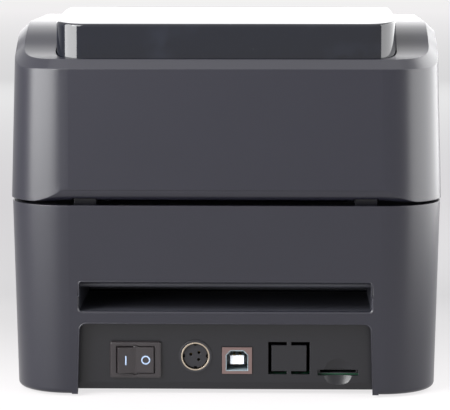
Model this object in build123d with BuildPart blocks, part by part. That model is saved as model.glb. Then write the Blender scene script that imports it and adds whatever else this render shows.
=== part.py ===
from build123d import *
from math import acos, atan2, ceil, copysign, cos, floor, hypot, pi, radians, sin, sqrt, tan
import os

# Desktop direct-thermal label printer, sizes in millimetres.
# The frame stands on the floor: origin at the middle of the footprint, +Z up.
# The labels leave at the front, -Y, and the sockets are at the rear, +Y.

# Overall body
body_width = 176.0
body_depth = 215.0
lid_overhang = 0.4
corner_radius = 25.0
skirt_z = 0.9
seam_z = 79.0
seam_gap = 1.3
wall = 2.5
base_draft = 1.3
lid_draft = 1.8
skirt_fillet = 2.0

# Lid outline in side view
shelf_z = 137.0
shelf_run = 6.5
ramp_run = 42.0
shoulder_z = 150.5
slope_run = 83.3
lid_setback = 2.2
slope_foot_z = 99.0
bevel = 3.8
top_fillet = 24.0
foot_fillet = 9.0

# Gloss hood between the two shoulders
shoulder_width = 19.0
hood_gap = 0.4
hood_wall = 2.2
hood_rear_inset = 8.5
hood_rear_height = 14.0
hood_crown = 4.5
hood_floor_drop = 3.0
hood_sink = 3.2
hood_proud = 1.4
hood_corner_radius = 11.5
hood_edge_fillet = 1.2
hood_front_inset = 7.3
ledge_width = 4.0
hood_opening_inset = 47.3
seat_gap = 0.3

# Smoked window in the hood
window_width = 98.0
window_length = 66.0
window_behind_roll = 9.0
window_radius = 9.0
window_gap = 0.25
window_rim = 3.0
window_flange = 1.2

# Fan-fold slot in the rear wall
slot_width = 118.5
slot_above_recess = 4.9
slot_height = 12.3
slot_radius = 1.2
rim_chamfer = 0.7
duct_wall = 2.0
guide_bar_radius = 1.3
guide_bar_drop = 0.9
guide_bar_inset = 9.0

# Interface recess at the foot of the rear wall
recess_width = 118.3
recess_spread = 2.2
recess_top_z = 30.2
recess_depth = 6.9
recess_radius = 3.0
jamb = 2.2
panel_gap = 0.3
panel_thickness = 2.2
panel_bevel = 3.0

# Tray that closes the base and carries the sockets
tray_low_z = 1.9
tray_thickness = 2.6
tray_gap = 0.4
foot_radius = 7.0
foot_inset_x = 22.0
foot_inset_y = 24.0
foot_recess = 1.2
screw_radius = 1.5
screw_head_radius = 3.0
screw_head_depth = 1.6
screw_slot_length = 3.3
screw_slot_width = 0.8
screw_slot_depth = 0.8
screw_bite = 15.0
boss_radius = 3.6
boss_inset_x = 12.0
boss_inset_y = 42.0

# Rocker switch
switch_x = 36.6
switch_z = 14.4
switch_width = 21.0
switch_height = 15.0
switch_flange = 1.8
switch_body_width = 18.8
switch_body_height = 12.8
switch_body_depth = 12.0
switch_corner = 1.0
switch_edge = 0.5
rocker_radius = 7.6
rocker_height = 10.6
rocker_gap = 0.3
rocker_throw = 16.0
rocker_sink = 1.0
rocker_end_rise = 2.6
rocker_middle_rise = 1.5
rocker_back = 3.2
rocker_axle_radius = 1.2
rocker_end_play = 0.2

# Power socket, three pins in a round shell
socket_x = 12.2
socket_z = 15.7
socket_bezel_radius = 6.7
socket_bezel_lip = 0.7
socket_bezel_proud = 0.6
socket_shell_radius = 5.8
socket_shell_wall = 0.55
socket_insert_radius = 4.9
socket_depth = 11.0
pin_hole_radius = 0.62
pin_hole_ring = 2.0
pin_hole_turns = (18, 136, 228)
pin_hole_floor = 3.0
socket_floor = 2.0
terminal_pitch = 9.0
terminal_width = 6.3
terminal_length = 8.0
terminal_thickness = 0.8

# Square data socket
usb_x = -4.8
usb_z = 14.0
usb_width = 12.2
usb_height = 11.0
usb_depth = 16.0
usb_wall = 0.5
usb_port_width = 9.2
usb_port_height = 8.6
usb_port_chamfer = 1.9
usb_tongue_width = 5.6
usb_tongue_height = 3.6
usb_back = 2.0

# Knock-out for a network socket and the memory-card slot
knockout_x = -26.0
knockout_z = 15.0
knockout_width = 16.9
knockout_height = 13.4
knockout_slot = 1.35
knockout_bridge = 1.8
card_x = -46.0
card_z = 9.1
card_width = 16.6
card_height = 2.4
card_socket_depth = 15.0
card_socket_height = 1.8
card_socket_wall = 1.0
card_socket_skin = 0.4
scoop_radius = 5.8
scoop_lift = 8.5

# Circuit board
board_z = 6.8
board_thickness = 1.6
board_boss_gap = 3.4
board_notch_gap = 1.0
board_length = 100.0
board_corner = 2.0
standoff_inset = 6.0
standoff_radius = 3.0

# Label roll bay
roll_y = 20.0
roll_z = 88.0
bay_radius = 58.0
bay_half_width = 61.0
bay_skin = 2.2
deck_drop = 2.5
deck_gap = 0.5
deck_thickness = 2.2

# Roll guides on a rack and pinion
guide_inset = 6.5
guide_thickness = 4.0
guide_travel = 37.0
guide_half_width = 17.0
guide_top_radius = 19.0
guide_clear = 1.2
guide_edge = 1.0
guide_slot_drop = 32.0
guide_slot_length = 26.0
guide_slot_width = 9.0
rack_module = 1.0
rack_pinion_teeth = 16
rack_drop = 2.1
rack_thickness = 4.2
rack_width = 5.0
rack_lead = 11.0
mesh_play = 0.12
running_gap = 0.06
float_gap = 0.3
post_radius = 2.5
hub_radius = 12.2
hub_nose_radius = 9.8
hub_length = 8.5
hub_pin_radius = 4.0
hub_clear = 0.3
hub_rim = 2.0
hub_hole_radius = 1.3
hub_hole_count = 6
hub_web = 1.0
pinion_post_drop = 1.3
post_shoulder = 1.5
cover_thickness = 1.4
cover_overlap = 0.5
cover_width = 44.0
cover_corner = 3.0
cover_post_radius = 2.2
cover_post_inset = 5.0

# Platen roller and its drive
platen_setback = 13.3
platen_drop = 5.0
platen_radius = 8.0
platen_length = 108.0
platen_core_radius = 4.5
shaft_radius = 3.0
platen_end_gap = 0.8
platen_clear = 1.5
shaft_edge = 0.5
shaft_tail = 1.5
cheek_thickness = 3.0
cheek_wall = 3.0
bush_radius = 5.0
bush_flange_radius = 6.4
bush_flange = 1.2
gear_module = 0.8
gear_width = 5.0
gear_inset = 18.0
gear_clear = 1.0
platen_teeth = 22
idler_teeth = 30
pinion_teeth = 12
idler_direction = -46.0
pinion_direction = -42.0
pressure_angle = radians(20)
tooth_top = 0.9
tooth_foot = 1.2
flank_steps = 2
idler_axle_radius = 2.5
idler_hole_ring = 7.0
idler_hole_radius = 2.2
idler_hole_count = 5
axle_collar = 1.5
bracket_gap = 0.5
bracket_thickness = 1.5
motor_side = 35.0
motor_length = 30.0
motor_corner = 4.0
motor_cap = 8.0
motor_step = 0.8
motor_pilot_radius = 11.0
motor_hole_pitch = 26.0
motor_screw_radius = 1.5
motor_shaft_radius = 2.5
motor_bore_depth = 6.0
bracket_behind_platen = 8.0
bracket_margin = 0.9
bracket_flange = 8.0

# Print head carried in the lid
head_overhang = 3.0
head_depth = 18.0
ceramic_thickness = 1.0
ceramic_depth = 12.0
head_boss_radius = 4.0
heatsink_thickness = 7.0
label_room = 0.1
fin_count = 3
fin_pitch = 2.6
fin_gap = 1.2
fin_depth = 4.0
beam_gap = 3.9
beam_thickness = 1.6
beam_front_reach = 9.5
beam_rear_reach = 16.0
beam_end = 9.0
beam_lip = 6.0
beam_post_margin = 3.0
beam_post_inset = 5.0
beam_post_radius = 3.4
stud_length = 7.0
guide_stud_radius = 2.0
guide_stud_inset = 12.0
stud_collar = 1.5
stud_collar_height = 1.2

# Label exit and tear bar
exit_overhang = 5.0
exit_height = 6.0
tear_bar_thickness = 0.8
tear_bar_height = 9.0
tear_tooth = 1.6
tear_drop = 2.4

# Hinge of the lid
hinge_inset = 5.0
hinge_side_inset = 31.0
knuckle_width = 9.0
knuckle_radius = 3.1
hinge_pin_radius = 1.5
knuckle_reach = 9.0
knuckle_leg = 5.0
knuckle_foot_z = 60.0
knuckle_foot_height = 6.0
lug_width = 5.0
lug_gap = 0.4

# Latch tabs in the sides of the lid
latch_setback = 47.3
latch_length = 26.0
latch_height = 11.0
latch_sink = 0.1
latch_gap = 0.4
latch_travel = 4.0
latch_lift = 2.6
grip_count = 4
grip_width = 1.2
grip_depth = 1.0
grip_margin = 1.5
latch_flange = 1.6
latch_flange_grow = 3.0
latch_flange_foot = 1.8

# Feed button and lamps in the front slope
button_side_inset = 19.0
button_radius = 6.0
button_gap = 0.3
button_travel = 1.0
button_rise = 0.8
button_flange = 1.4
button_edge = 0.5
lamp_radius = 1.6
lamp_pitch = 9.0
lamp_count = 3
lamp_button_gap = 28.0
controls_run = 50.0
control_board_width = 78.0
control_board_depth = 16.0
control_board_thickness = 1.6
control_boss_radius = 2.4
control_boss_reach = 11.5
tact_height = 1.0
tact_width = 6.0

# Ledges inside the base that carry the media bay's deck
ledge_length = 12.0
ledge_reach = 7.0
ledge_height = 8.0
ledge_y = 30.0
boss_height = 30.0
rib_thickness = 1.6
fit = 0.1

# How far a cut starts outside the face that it opens
cut_over = 1.0

# A face leans, rather than standing upright or lying level, past this much of its normal
tilt = sin(radians(12))

# Places worked out from the sizes above
rear_y = body_depth / 2
front_y = -body_depth / 2
base_top_z = seam_z - seam_gap / 2
lid_low_z = seam_z + seam_gap / 2
hinge_x = body_width / 2 - hinge_side_inset
hinge_y = rear_y - hinge_inset
hinge_z = lid_low_z + hinge_inset
lid_front_y = front_y + lid_setback
slope_top_y = lid_front_y + slope_run
slope_angle = atan2(shoulder_z - slope_foot_z, slope_run)
ramp_top_y = rear_y - shelf_run - ramp_run
beyond = 60.0
lid_high_z = shoulder_z + beyond / 3
hood_width = body_width - 2 * shoulder_width
hood_rear_y = rear_y - hood_rear_inset
hood_front_y = lid_front_y + hood_front_inset
hood_floor_z = shelf_z - hood_floor_drop
hood_rear_top_z = shelf_z + hood_rear_height
hood_crown_z = shoulder_z + hood_crown
hood_opening_front_y = lid_front_y + hood_opening_inset
window_middle_y = roll_y + window_behind_roll
panel_y = rear_y - recess_depth
slot_low_z = recess_top_z + slot_above_recess
slot_high_z = slot_low_z + slot_height
slot_middle_z = slot_low_z + slot_height / 2
lug_x = knuckle_width / 2 + lug_gap + lug_width / 2
tray_top_z = tray_low_z + tray_thickness
deck_z = seam_z - deck_drop
deck_low_z = deck_z - deck_thickness
trough_low_z = roll_z - bay_radius - bay_skin
rack_low_z = trough_low_z - rack_drop - rack_thickness
pinion_post_z = rack_low_z - pinion_post_drop
guide_x = bay_half_width - guide_inset
cover_length = 2 * (guide_x + guide_thickness / 2 - cover_overlap)
platen_y = lid_front_y + platen_setback
platen_z = deck_z - platen_drop
inner_cheek_x = platen_length / 2 + platen_end_gap + bush_flange
cheek_x = inner_cheek_x + cheek_thickness / 2
gear_x = body_width / 2 - gear_inset
bracket_x = gear_x - gear_width / 2 - bracket_gap - bracket_thickness
bracket_front_y = platen_y + bracket_behind_platen
exit_width = platen_length + 2 * exit_overhang
head_low_z = platen_z + platen_radius + label_room
heatsink_low_z = head_low_z + ceramic_thickness
heatsink_high_z = heatsink_low_z + heatsink_thickness
beam_z = heatsink_high_z + beam_gap
head_width = platen_length + 2 * head_overhang
guide_stud_x = platen_length / 2 - guide_stud_inset
beam_post_x = hood_width / 2 - beam_post_margin
beam_width = 2 * (beam_post_x + beam_end)
beam_front_y = platen_y - beam_front_reach
beam_rear_y = platen_y + beam_rear_reach
latch_y = lid_front_y + latch_setback
controls_y = slope_top_y - controls_run
boss_x = body_width / 2 - boss_inset_x
boss_y = body_depth / 2 - boss_inset_y
boss_low_z = tray_top_z + seat_gap
board_width = 2 * (boss_x - boss_radius - board_boss_gap)
button_x = hood_width / 2 - button_side_inset
lamp_x = button_x - lamp_button_gap
boss_places = [(x, y) for x in (-boss_x, boss_x) for y in (-boss_y, boss_y)]
cover_posts = [
    (x, roll_y + y)
    for x in (cover_post_inset - cover_length / 2, cover_length / 2 - cover_post_inset)
    for y in (cover_post_inset - cover_width / 2, cover_width / 2 - cover_post_inset)
]


def tapered_block(width, depth, radius, low_z, high_z, draft):
    """Rounded block, sized at low_z. Its sides lean in going up, or out if draft is negative."""
    with BuildPart(mode=Mode.PRIVATE) as block:
        with BuildSketch(Plane.XY.offset(low_z)):
            RectangleRounded(width, depth, radius)
        extrude(amount=high_z - low_z, taper=draft)
    return block.part


def side_block(outline, half_width):
    """A closed side-view outline in (y, z), made a block between -half_width and half_width."""
    with BuildPart(mode=Mode.PRIVATE) as block:
        with BuildSketch(Plane.YZ):
            add(outline)
            make_face()
        extrude(amount=half_width, both=True)
    return block.part


def plain_box(x_low, x_high, y_low, y_high, z_low, z_high):
    """A box between two corners."""
    middle = ((x_low + x_high) / 2, (y_low + y_high) / 2, (z_low + z_high) / 2)
    with BuildPart(mode=Mode.PRIVATE) as block:
        with Locations(middle):
            Box(x_high - x_low, y_high - y_low, z_high - z_low)
    return block.part


def along_x(x_low, x_high, y, z, radius):
    """A round bar between two places along X."""
    with BuildPart(mode=Mode.PRIVATE) as bar:
        with BuildSketch(Plane.YZ.offset(x_low)):
            with Locations((y, z)):
                Circle(radius)
        extrude(amount=x_high - x_low)
    return bar.part


def upright(x, y, z_low, z_high, radius):
    """A round bar standing between two heights."""
    with BuildPart(mode=Mode.PRIVATE) as bar:
        with BuildSketch(Plane.XY.offset(z_low)):
            with Locations((x, y)):
                Circle(radius)
        extrude(amount=z_high - z_low)
    return bar.part


os.makedirs("parts", exist_ok=True)


def keep(part, name):
    """Label a finished piece and write it."""
    part.label = name
    export_step(part, f"parts/{name}.step")


# Base shell: a drafted tub with no floor, its rear wall cut for labels and sockets
def base_block(inset):
    """The base's outer form, or its inside where inset is the wall."""
    fall = (base_top_z - skirt_z) * tan(radians(base_draft))
    shrink = 2 * (fall + inset)
    return tapered_block(
        body_width - shrink, body_depth - shrink, corner_radius - fall - inset,
        skirt_z, base_top_z, -base_draft,
    )


def recess_block(grow, from_y, to_y):
    """The recess between two planes: square foot, round top corners and sides that spread down."""
    top = recess_width / 2 + grow
    foot = top + recess_spread / 2
    low = -skirt_z
    high = recess_top_z + grow
    with BuildPart(mode=Mode.PRIVATE) as block:
        with BuildSketch(Plane.XZ.offset(-from_y)):
            with BuildLine():
                FilletPolyline(
                    (-foot, low), (-top, high), (top, high), (foot, low), radius=recess_radius + grow,
                )
                Line((foot, low), (-foot, low))
            make_face()
        extrude(amount=from_y - to_y)
    return block.part


rear_plane = Plane(origin=(0, rear_y, 0), x_dir=(-1, 0, 0), z_dir=(0, 1, 0))

with BuildPart() as base_shell:
    add(base_block(0))
    fillet(base_shell.edges().group_by(Axis.Z)[0], skirt_fillet)
    inside = base_block(wall)
    add(inside, mode=Mode.SUBTRACT)
    add(recess_block(jamb, panel_y, rear_y - wall / 2) & base_block(0))
    add(recess_block(0, panel_y - wall, rear_y + wall), mode=Mode.SUBTRACT)
    with BuildSketch(rear_plane.offset(cut_over)):
        with Locations((0, slot_middle_z)):
            RectangleRounded(slot_width, slot_height, slot_radius)
    extrude(amount=-2 * wall - cut_over, mode=Mode.SUBTRACT)
    face_fall = (base_top_z - slot_middle_z) * tan(radians(base_draft))
    with BuildSketch(rear_plane.offset(-face_fall)):
        with Locations((0, slot_middle_z)):
            RectangleRounded(
                slot_width + 2 * rim_chamfer, slot_height + 2 * rim_chamfer, slot_radius + rim_chamfer,
            )
    extrude(amount=-rim_chamfer, taper=45, mode=Mode.SUBTRACT)
    # Screw bosses with a rib to the side wall, and ledges under the deck
    room = base_block(wall / 2)
    for x, y in boss_places:
        add(upright(x, y, boss_low_z, boss_low_z + boss_height, boss_radius))
        outer = copysign(body_width / 2, x)
        rib = plain_box(
            min(x, outer), max(x, outer), y - rib_thickness / 2, y + rib_thickness / 2,
            boss_low_z, boss_low_z + boss_height,
        )
        add(rib & room)
        add(upright(x, y, boss_low_z, boss_low_z + screw_bite, screw_radius), mode=Mode.SUBTRACT)
    for side in (-1, 1):
        for y in (-ledge_y, ledge_y):
            outer = side * body_width / 2
            inner = side * (body_width / 2 - wall - ledge_reach)
            ledge = plain_box(
                min(inner, outer), max(inner, outer), y - ledge_length / 2, y + ledge_length / 2,
                deck_low_z - ledge_height, deck_low_z,
            )
            add(ledge & room)
        # Swan-necked knuckle of the hinge, rising from a foot on the rear wall
        middle = side * hinge_x
        leg_rear = hinge_y - knuckle_reach + knuckle_leg
        neck_top = hinge_z + knuckle_radius
        neck_low = hinge_z - knuckle_radius
        with BuildSketch(Plane.YZ.offset(middle - knuckle_width / 2)):
            with BuildLine():
                FilletPolyline(
                    (hinge_y, neck_top), (hinge_y - knuckle_reach, neck_top),
                    (hinge_y - knuckle_reach, knuckle_foot_z), radius=knuckle_radius,
                )
                Polyline(
                    (hinge_y - knuckle_reach, knuckle_foot_z), (rear_y - wall / 2, knuckle_foot_z),
                    (rear_y - wall / 2, knuckle_foot_z + knuckle_foot_height),
                    (leg_rear, knuckle_foot_z + knuckle_foot_height), (leg_rear, neck_low),
                    (hinge_y, neck_low), (hinge_y, neck_top),
                )
            make_face()
            with Locations((hinge_y, hinge_z)):
                Circle(knuckle_radius)
                Circle(hinge_pin_radius, mode=Mode.SUBTRACT)
        extrude(amount=knuckle_width)
keep(base_shell.part, "base_shell")


# Lid shell: drafted walls, a bevel all round, and two shoulders with a channel for the hood between them
def lid_outline(inset):
    """Side view of the lid, going round from the foot of the rear wall to the foot of the front."""
    top = shoulder_z - inset
    shelf = shelf_z - inset
    half = (ramp_top_y + rear_y - shelf_run) / 2
    bend = slope_angle / 2
    foot_y = lid_front_y + inset
    foot_z = slope_foot_z - inset * cos(slope_angle) / (1 + sin(slope_angle))
    low = lid_low_z - beyond
    with BuildLine(mode=Mode.PRIVATE) as outline:
        Polyline(
            (foot_y, low), (rear_y + beyond, low), (rear_y + beyond, shelf), (rear_y - shelf_run, shelf),
        )
        rise = TangentArc((rear_y - shelf_run, shelf), (half, (top + shelf) / 2), tangent=(-1, 0))
        rest = TangentArc(rise @ 1, (ramp_top_y, top), tangent=rise % 1)
        FilletPolyline(
            rest @ 1, (slope_top_y + inset * tan(bend), top), (foot_y, foot_z), (foot_y, low),
            radius=[top_fillet - inset, foot_fillet - inset],
        )
    return outline.line


def lid_block(inset):
    """The lid's outer form without its bevel, or its inside where inset is the wall."""
    grow = 2 * (lid_overhang - inset)
    walls = tapered_block(
        body_width + grow, body_depth + grow, corner_radius + lid_overhang - inset,
        lid_low_z, lid_high_z, lid_draft,
    )
    return walls & side_block(lid_outline(inset), body_width)


def lid_rim(block):
    """The edges where the lid's drafted sides and rear meet its top, for the bevel."""
    rearward = cos(radians(30))
    sides = [f for f in block.faces() if abs(f.normal_at().X) > tilt or f.normal_at().Y > rearward]
    tops = [f for f in block.faces() if f.normal_at().Z > tilt]
    top_edges = [e for f in tops for e in f.edges()]
    return [e for f in sides for e in f.edges() if any(e.is_same(t) for t in top_edges)]


def slope_height(y, proud):
    """Height at y of the front slope, moved outward by proud."""
    return shoulder_z - (slope_top_y - y) * tan(slope_angle) + proud / cos(slope_angle)


def hood_outline(inset, drop):
    """Side view of the hood. drop is how far its underside lies below the floor of its channel."""
    rear = hood_rear_y - inset
    front = hood_front_y + inset
    floor = hood_floor_z - drop
    sink = -hood_sink - drop
    knee_y = slope_top_y - (slope_height(slope_top_y, sink) - floor) / tan(slope_angle)
    rear_top = (rear, hood_rear_top_z - inset)
    slope_top = (slope_top_y, slope_height(slope_top_y, hood_proud - inset))
    with BuildLine(mode=Mode.PRIVATE) as outline:
        Line((rear, floor), rear_top)
        ThreePointArc(rear_top, ((rear + slope_top_y) / 2, hood_crown_z - inset), slope_top)
        Polyline(
            slope_top,
            (front, slope_height(front, hood_proud - inset)),
            (front, slope_height(front, sink)),
            (knee_y, floor),
            (rear, floor),
        )
    return outline.line


def hood_block(inset, drop):
    """The hood's outer form, or its inside or channel, by inset, with its upright corners rounded."""
    with BuildPart(mode=Mode.PRIVATE) as block:
        add(side_block(hood_outline(inset, drop), hood_width / 2 - inset))
        fillet(block.edges().filter_by(Axis.Z).group_by(Axis.Y)[-1], hood_corner_radius - inset)
        crease = block.edges().filter_by(Axis.X).sort_by(lambda e: abs(e.center().Y - slope_top_y))[0]
        fillet(crease, top_fillet - inset)
    return block.part


hood_half = hood_width / 2
channel_half = hood_half + hood_gap
control_spot = (0, controls_y, slope_height(controls_y, hood_proud))
control_plane = Plane(origin=control_spot, x_dir=(1, 0, 0), z_dir=(0, -sin(slope_angle), cos(slope_angle)))
channel_floor_depth = hood_proud + hood_sink + seat_gap
floor_underside = channel_floor_depth + wall
flange_depth = floor_underside + seat_gap
beam_posts = [
    (x, y)
    for x in (-beam_post_x, beam_post_x)
    for y in (beam_front_y + beam_post_inset, beam_rear_y - beam_post_inset)
]
button_foot = flange_depth + button_flange
board_depth = button_foot + button_travel + seat_gap + tact_height
lamp_places = [(lamp_x - i * lamp_pitch, 0) for i in range(lamp_count)]
board_bosses = [(button_x + control_boss_reach, 0), (lamp_x - lamp_count * lamp_pitch, 0)]

# Places of the latch tabs
latch_low_z = lid_low_z + latch_lift
side_x = body_width / 2 + lid_overhang - latch_height * tan(radians(lid_draft))
latch_face_x = side_x - latch_sink
latch_flange_x = side_x - wall - seat_gap - latch_flange / 2

with BuildPart() as lid_shell:
    add(lid_block(0))
    chamfer(lid_rim(lid_shell), bevel)
    hollow = lid_block(wall)
    channel_walls = side_block(hood_outline(-hood_gap - wall, seat_gap + wall), channel_half + wall)
    add(hollow - channel_walls, mode=Mode.SUBTRACT)
    # Posts down to the print head's beam, cut off by the channel's floor
    for x, y in beam_posts:
        add(upright(x, y, beam_z + beam_thickness, lid_high_z, beam_post_radius) & lid_block(wall / 2))
    add(hood_block(-hood_gap, seat_gap), mode=Mode.SUBTRACT)
    opening_half = hood_half - ledge_width
    opening_rear = hood_rear_y - ledge_width
    add(
        plain_box(
            -opening_half, opening_half, hood_opening_front_y, opening_rear,
            shelf_z - beyond / 2, shelf_z + beyond / 2,
        ),
        mode=Mode.SUBTRACT,
    )
    exit_high_z = lid_low_z + exit_height
    add(
        plain_box(
            -exit_width / 2, exit_width / 2, front_y - wall, lid_front_y + 2 * wall,
            lid_low_z - cut_over, exit_high_z,
        ),
        mode=Mode.SUBTRACT,
    )
    with BuildSketch(control_plane.offset(cut_over - channel_floor_depth)):
        with Locations((button_x, 0)):
            Circle(button_radius + button_gap)
        with Locations(*lamp_places):
            Circle(lamp_radius + button_gap)
    extrude(amount=-wall - 2 * cut_over, mode=Mode.SUBTRACT)
    with BuildSketch(control_plane.offset(-board_depth)):
        with Locations(*board_bosses):
            Circle(control_boss_radius)
    extrude(amount=board_depth - floor_underside + wall / 2)
    # Lower rear edge, rounded about the hinge so that it rolls as the lid opens
    with BuildSketch(Plane.YZ):
        with Locations((hinge_y + hinge_inset, hinge_z - hinge_inset)):
            Rectangle(2 * hinge_inset, 2 * hinge_inset)
        with Locations((hinge_y, hinge_z)):
            Circle(hinge_inset, mode=Mode.SUBTRACT)
            quarter = 4 * hinge_inset
            Rectangle(quarter, quarter, align=(Align.MAX, Align.CENTER), mode=Mode.SUBTRACT)
            Rectangle(quarter, quarter, align=(Align.CENTER, Align.MIN), mode=Mode.SUBTRACT)
    extrude(amount=body_width, both=True, mode=Mode.SUBTRACT)
    for side in (-1, 1):
        # Lugs that turn on the hinge pins
        for place in (-lug_x, lug_x):
            with BuildSketch(Plane.YZ.offset(side * hinge_x + place - lug_width / 2)):
                with Locations((hinge_y, hinge_z)):
                    Circle(knuckle_radius)
                    Rectangle(hinge_inset - wall / 2, 2 * knuckle_radius, align=(Align.MIN, Align.CENTER))
            extrude(amount=lug_width)
            with BuildSketch(Plane.YZ.offset(side * hinge_x + place - lug_width / 2)):
                with Locations((hinge_y, hinge_z)):
                    Circle(hinge_pin_radius + running_gap)
            extrude(amount=lug_width, mode=Mode.SUBTRACT)
        knuckle_half = knuckle_width / 2 + lug_gap
        knuckle_room = knuckle_radius + lug_gap
        add(
            plain_box(
                side * hinge_x - knuckle_half, side * hinge_x + knuckle_half,
                hinge_y - 2 * knuckle_reach, hinge_y + knuckle_room,
                lid_low_z - cut_over, hinge_z + knuckle_room,
            ),
            mode=Mode.SUBTRACT,
        )
        # Window in the side wall for the latch tab
        add(
            plain_box(
                side * side_x - 2 * wall, side * side_x + 2 * wall,
                latch_y - latch_length / 2 - latch_gap - latch_travel,
                latch_y + latch_length / 2 + latch_gap,
                latch_low_z - latch_gap, latch_low_z + latch_height + latch_gap,
            ),
            mode=Mode.SUBTRACT,
        )
keep(lid_shell.part, "lid_shell")


# Hood: a thin gloss cover, with a smoked window let into its crown
def window_prism(grow):
    """An upright prism of the window's outline, grown all round."""
    with BuildPart(mode=Mode.PRIVATE) as block:
        with BuildSketch(Plane.XY.offset(hood_floor_z)):
            with Locations((0, window_middle_y)):
                RectangleRounded(window_width + 2 * grow, window_length + 2 * grow, window_radius + grow)
        extrude(amount=beyond)
    return block.part


with BuildPart() as hood:
    add(hood_block(0, 0))
    crown = hood.faces().filter_by(lambda f: f.normal_at().Z > tilt)
    crown_edges = [e for f in crown for e in f.edges()]
    walls = hood.faces().filter_by(lambda f: abs(f.normal_at().Z) < tilt)
    wall_edges = [e for f in walls for e in f.edges() if any(e.is_same(r) for r in crown_edges)]
    fillet(wall_edges, hood_edge_fillet)
    add(hood_block(hood_wall, 4 * wall), mode=Mode.SUBTRACT)
    add(window_prism(window_gap), mode=Mode.SUBTRACT)
    with BuildSketch(control_plane.offset(cut_over)):
        with Locations((button_x, 0)):
            Circle(button_radius + button_gap)
        with Locations(*lamp_places):
            Circle(lamp_radius + window_gap)
    extrude(amount=-hood_wall - 2 * cut_over, mode=Mode.SUBTRACT)
keep(hood.part, "hood")

with BuildPart() as window:
    add(hood_block(0, 0) & window_prism(0))
    add(hood_block(hood_wall + window_gap, 4 * wall) & window_prism(window_rim))
    add(hood_block(hood_wall + window_gap + window_flange, 8 * wall), mode=Mode.SUBTRACT)
keep(window.part, "hood_window")


# Tray: a floor with the interface panel standing at its rear edge
panel_rear_y = panel_y - panel_gap
panel_front_y = panel_rear_y - panel_thickness
board_rear_y = panel_front_y - panel_gap
switch_face_y = panel_rear_y + switch_flange
rocker_axle_y = switch_face_y - rocker_sink
foot_places = [
    (x, y)
    for x in (foot_inset_x - body_width / 2, body_width / 2 - foot_inset_x)
    for y in (foot_inset_y - body_depth / 2, body_depth / 2 - foot_inset_y)
]
standoff_places = [
    (x, y)
    for x in (standoff_inset - board_width / 2, board_width / 2 - standoff_inset)
    for y in (board_rear_y - board_length + standoff_inset, board_rear_y - standoff_inset)
]
panel_plane = Plane(origin=(0, panel_rear_y, 0), x_dir=(-1, 0, 0), z_dir=(0, 1, 0))


def panel_spot(x, z):
    """A place on the panel's outer face, seen from the rear."""
    return (-x, z)


with BuildPart() as bottom_tray:
    with BuildSketch(Plane.XY.offset(tray_low_z)):
        Rectangle(2 * body_width, 2 * body_depth)
    extrude(amount=tray_thickness)
    add(base_block(wall + tray_gap), mode=Mode.INTERSECT)
    add(plain_box(-body_width, body_width, panel_rear_y, rear_y, 0, tray_top_z), mode=Mode.SUBTRACT)
    add(
        recess_block(jamb, panel_front_y, panel_rear_y)
        & plain_box(-body_width, body_width, 0, body_depth, tray_low_z, recess_top_z + jamb)
    )
    with BuildSketch(Plane.YZ):
        Polygon(
            (panel_rear_y, tray_low_z), (panel_rear_y, tray_low_z + panel_bevel),
            (panel_rear_y - panel_thickness / 2, tray_low_z), align=None,
        )
    extrude(amount=body_width, both=True, mode=Mode.SUBTRACT)
    with BuildSketch(Plane.XY.offset(tray_low_z)):
        with Locations(*foot_places):
            Circle(foot_radius + fit)
    extrude(amount=foot_recess, mode=Mode.SUBTRACT)
    with Locations(*[Location((x, y, tray_low_z), (180, 0, 0)) for x, y in boss_places]):
        CounterBoreHole(screw_radius + fit, screw_head_radius + fit, screw_head_depth - fit)
    with BuildSketch(Plane.XY.offset(tray_top_z)):
        with Locations(*standoff_places):
            Circle(standoff_radius)
    extrude(amount=board_z - tray_top_z)
    with BuildSketch(panel_plane.offset(cut_over)):
        with Locations(panel_spot(switch_x, switch_z)):
            Rectangle(switch_body_width + 2 * fit, switch_body_height + 2 * fit)
        with Locations(panel_spot(socket_x, socket_z)):
            Circle(socket_bezel_radius - socket_bezel_lip)
        with Locations(panel_spot(usb_x, usb_z)):
            Rectangle(usb_width + 2 * fit, usb_height + 2 * fit)
        with Locations(panel_spot(card_x, card_z)):
            Rectangle(card_width, card_height)
        with Locations(panel_spot(knockout_x, knockout_z)):
            plate_width = knockout_width - 2 * knockout_slot
            plate_height = knockout_height - 2 * knockout_slot
            Rectangle(knockout_width, knockout_height)
            Rectangle(plate_width, plate_height, mode=Mode.SUBTRACT)
            Rectangle(knockout_bridge, knockout_height, mode=Mode.SUBTRACT)
    extrude(amount=-panel_thickness - 2 * cut_over, mode=Mode.SUBTRACT)
    with Locations((card_x, panel_rear_y + scoop_lift, card_z)):
        Sphere(hypot(scoop_radius, scoop_lift), mode=Mode.SUBTRACT)
keep(bottom_tray.part, "bottom_tray")

with BuildPart() as rubber_feet:
    with BuildSketch():
        with Locations(*foot_places):
            Circle(foot_radius)
    extrude(amount=tray_low_z + foot_recess)
    chamfer(rubber_feet.faces().group_by(Axis.Z)[0].edges(), foot_recess / 2)
keep(rubber_feet.part, "rubber_feet")

with BuildPart() as tray_screws:
    screw_low_z = tray_low_z + fit
    head_top_z = tray_low_z + screw_head_depth - seat_gap
    for x, y in boss_places:
        add(upright(x, y, screw_low_z, head_top_z, screw_head_radius))
        add(upright(x, y, screw_low_z, boss_low_z + screw_bite - fit, screw_radius))
        with BuildSketch(Plane.XY.offset(screw_low_z)):
            with Locations((x, y)):
                Rectangle(screw_slot_length, screw_slot_width)
                Rectangle(screw_slot_width, screw_slot_length)
        extrude(amount=screw_slot_depth, mode=Mode.SUBTRACT)
keep(tray_screws.part, "tray_screws")


# Media bay: a deck over the base with a trough for the roll, a duct from the rear slot,
# and two cheeks that carry the platen roller
def bay_cylinder(radius, half_width):
    """A bar about the label roll's axis."""
    return along_x(-half_width, half_width, roll_y, roll_z, radius)


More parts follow.
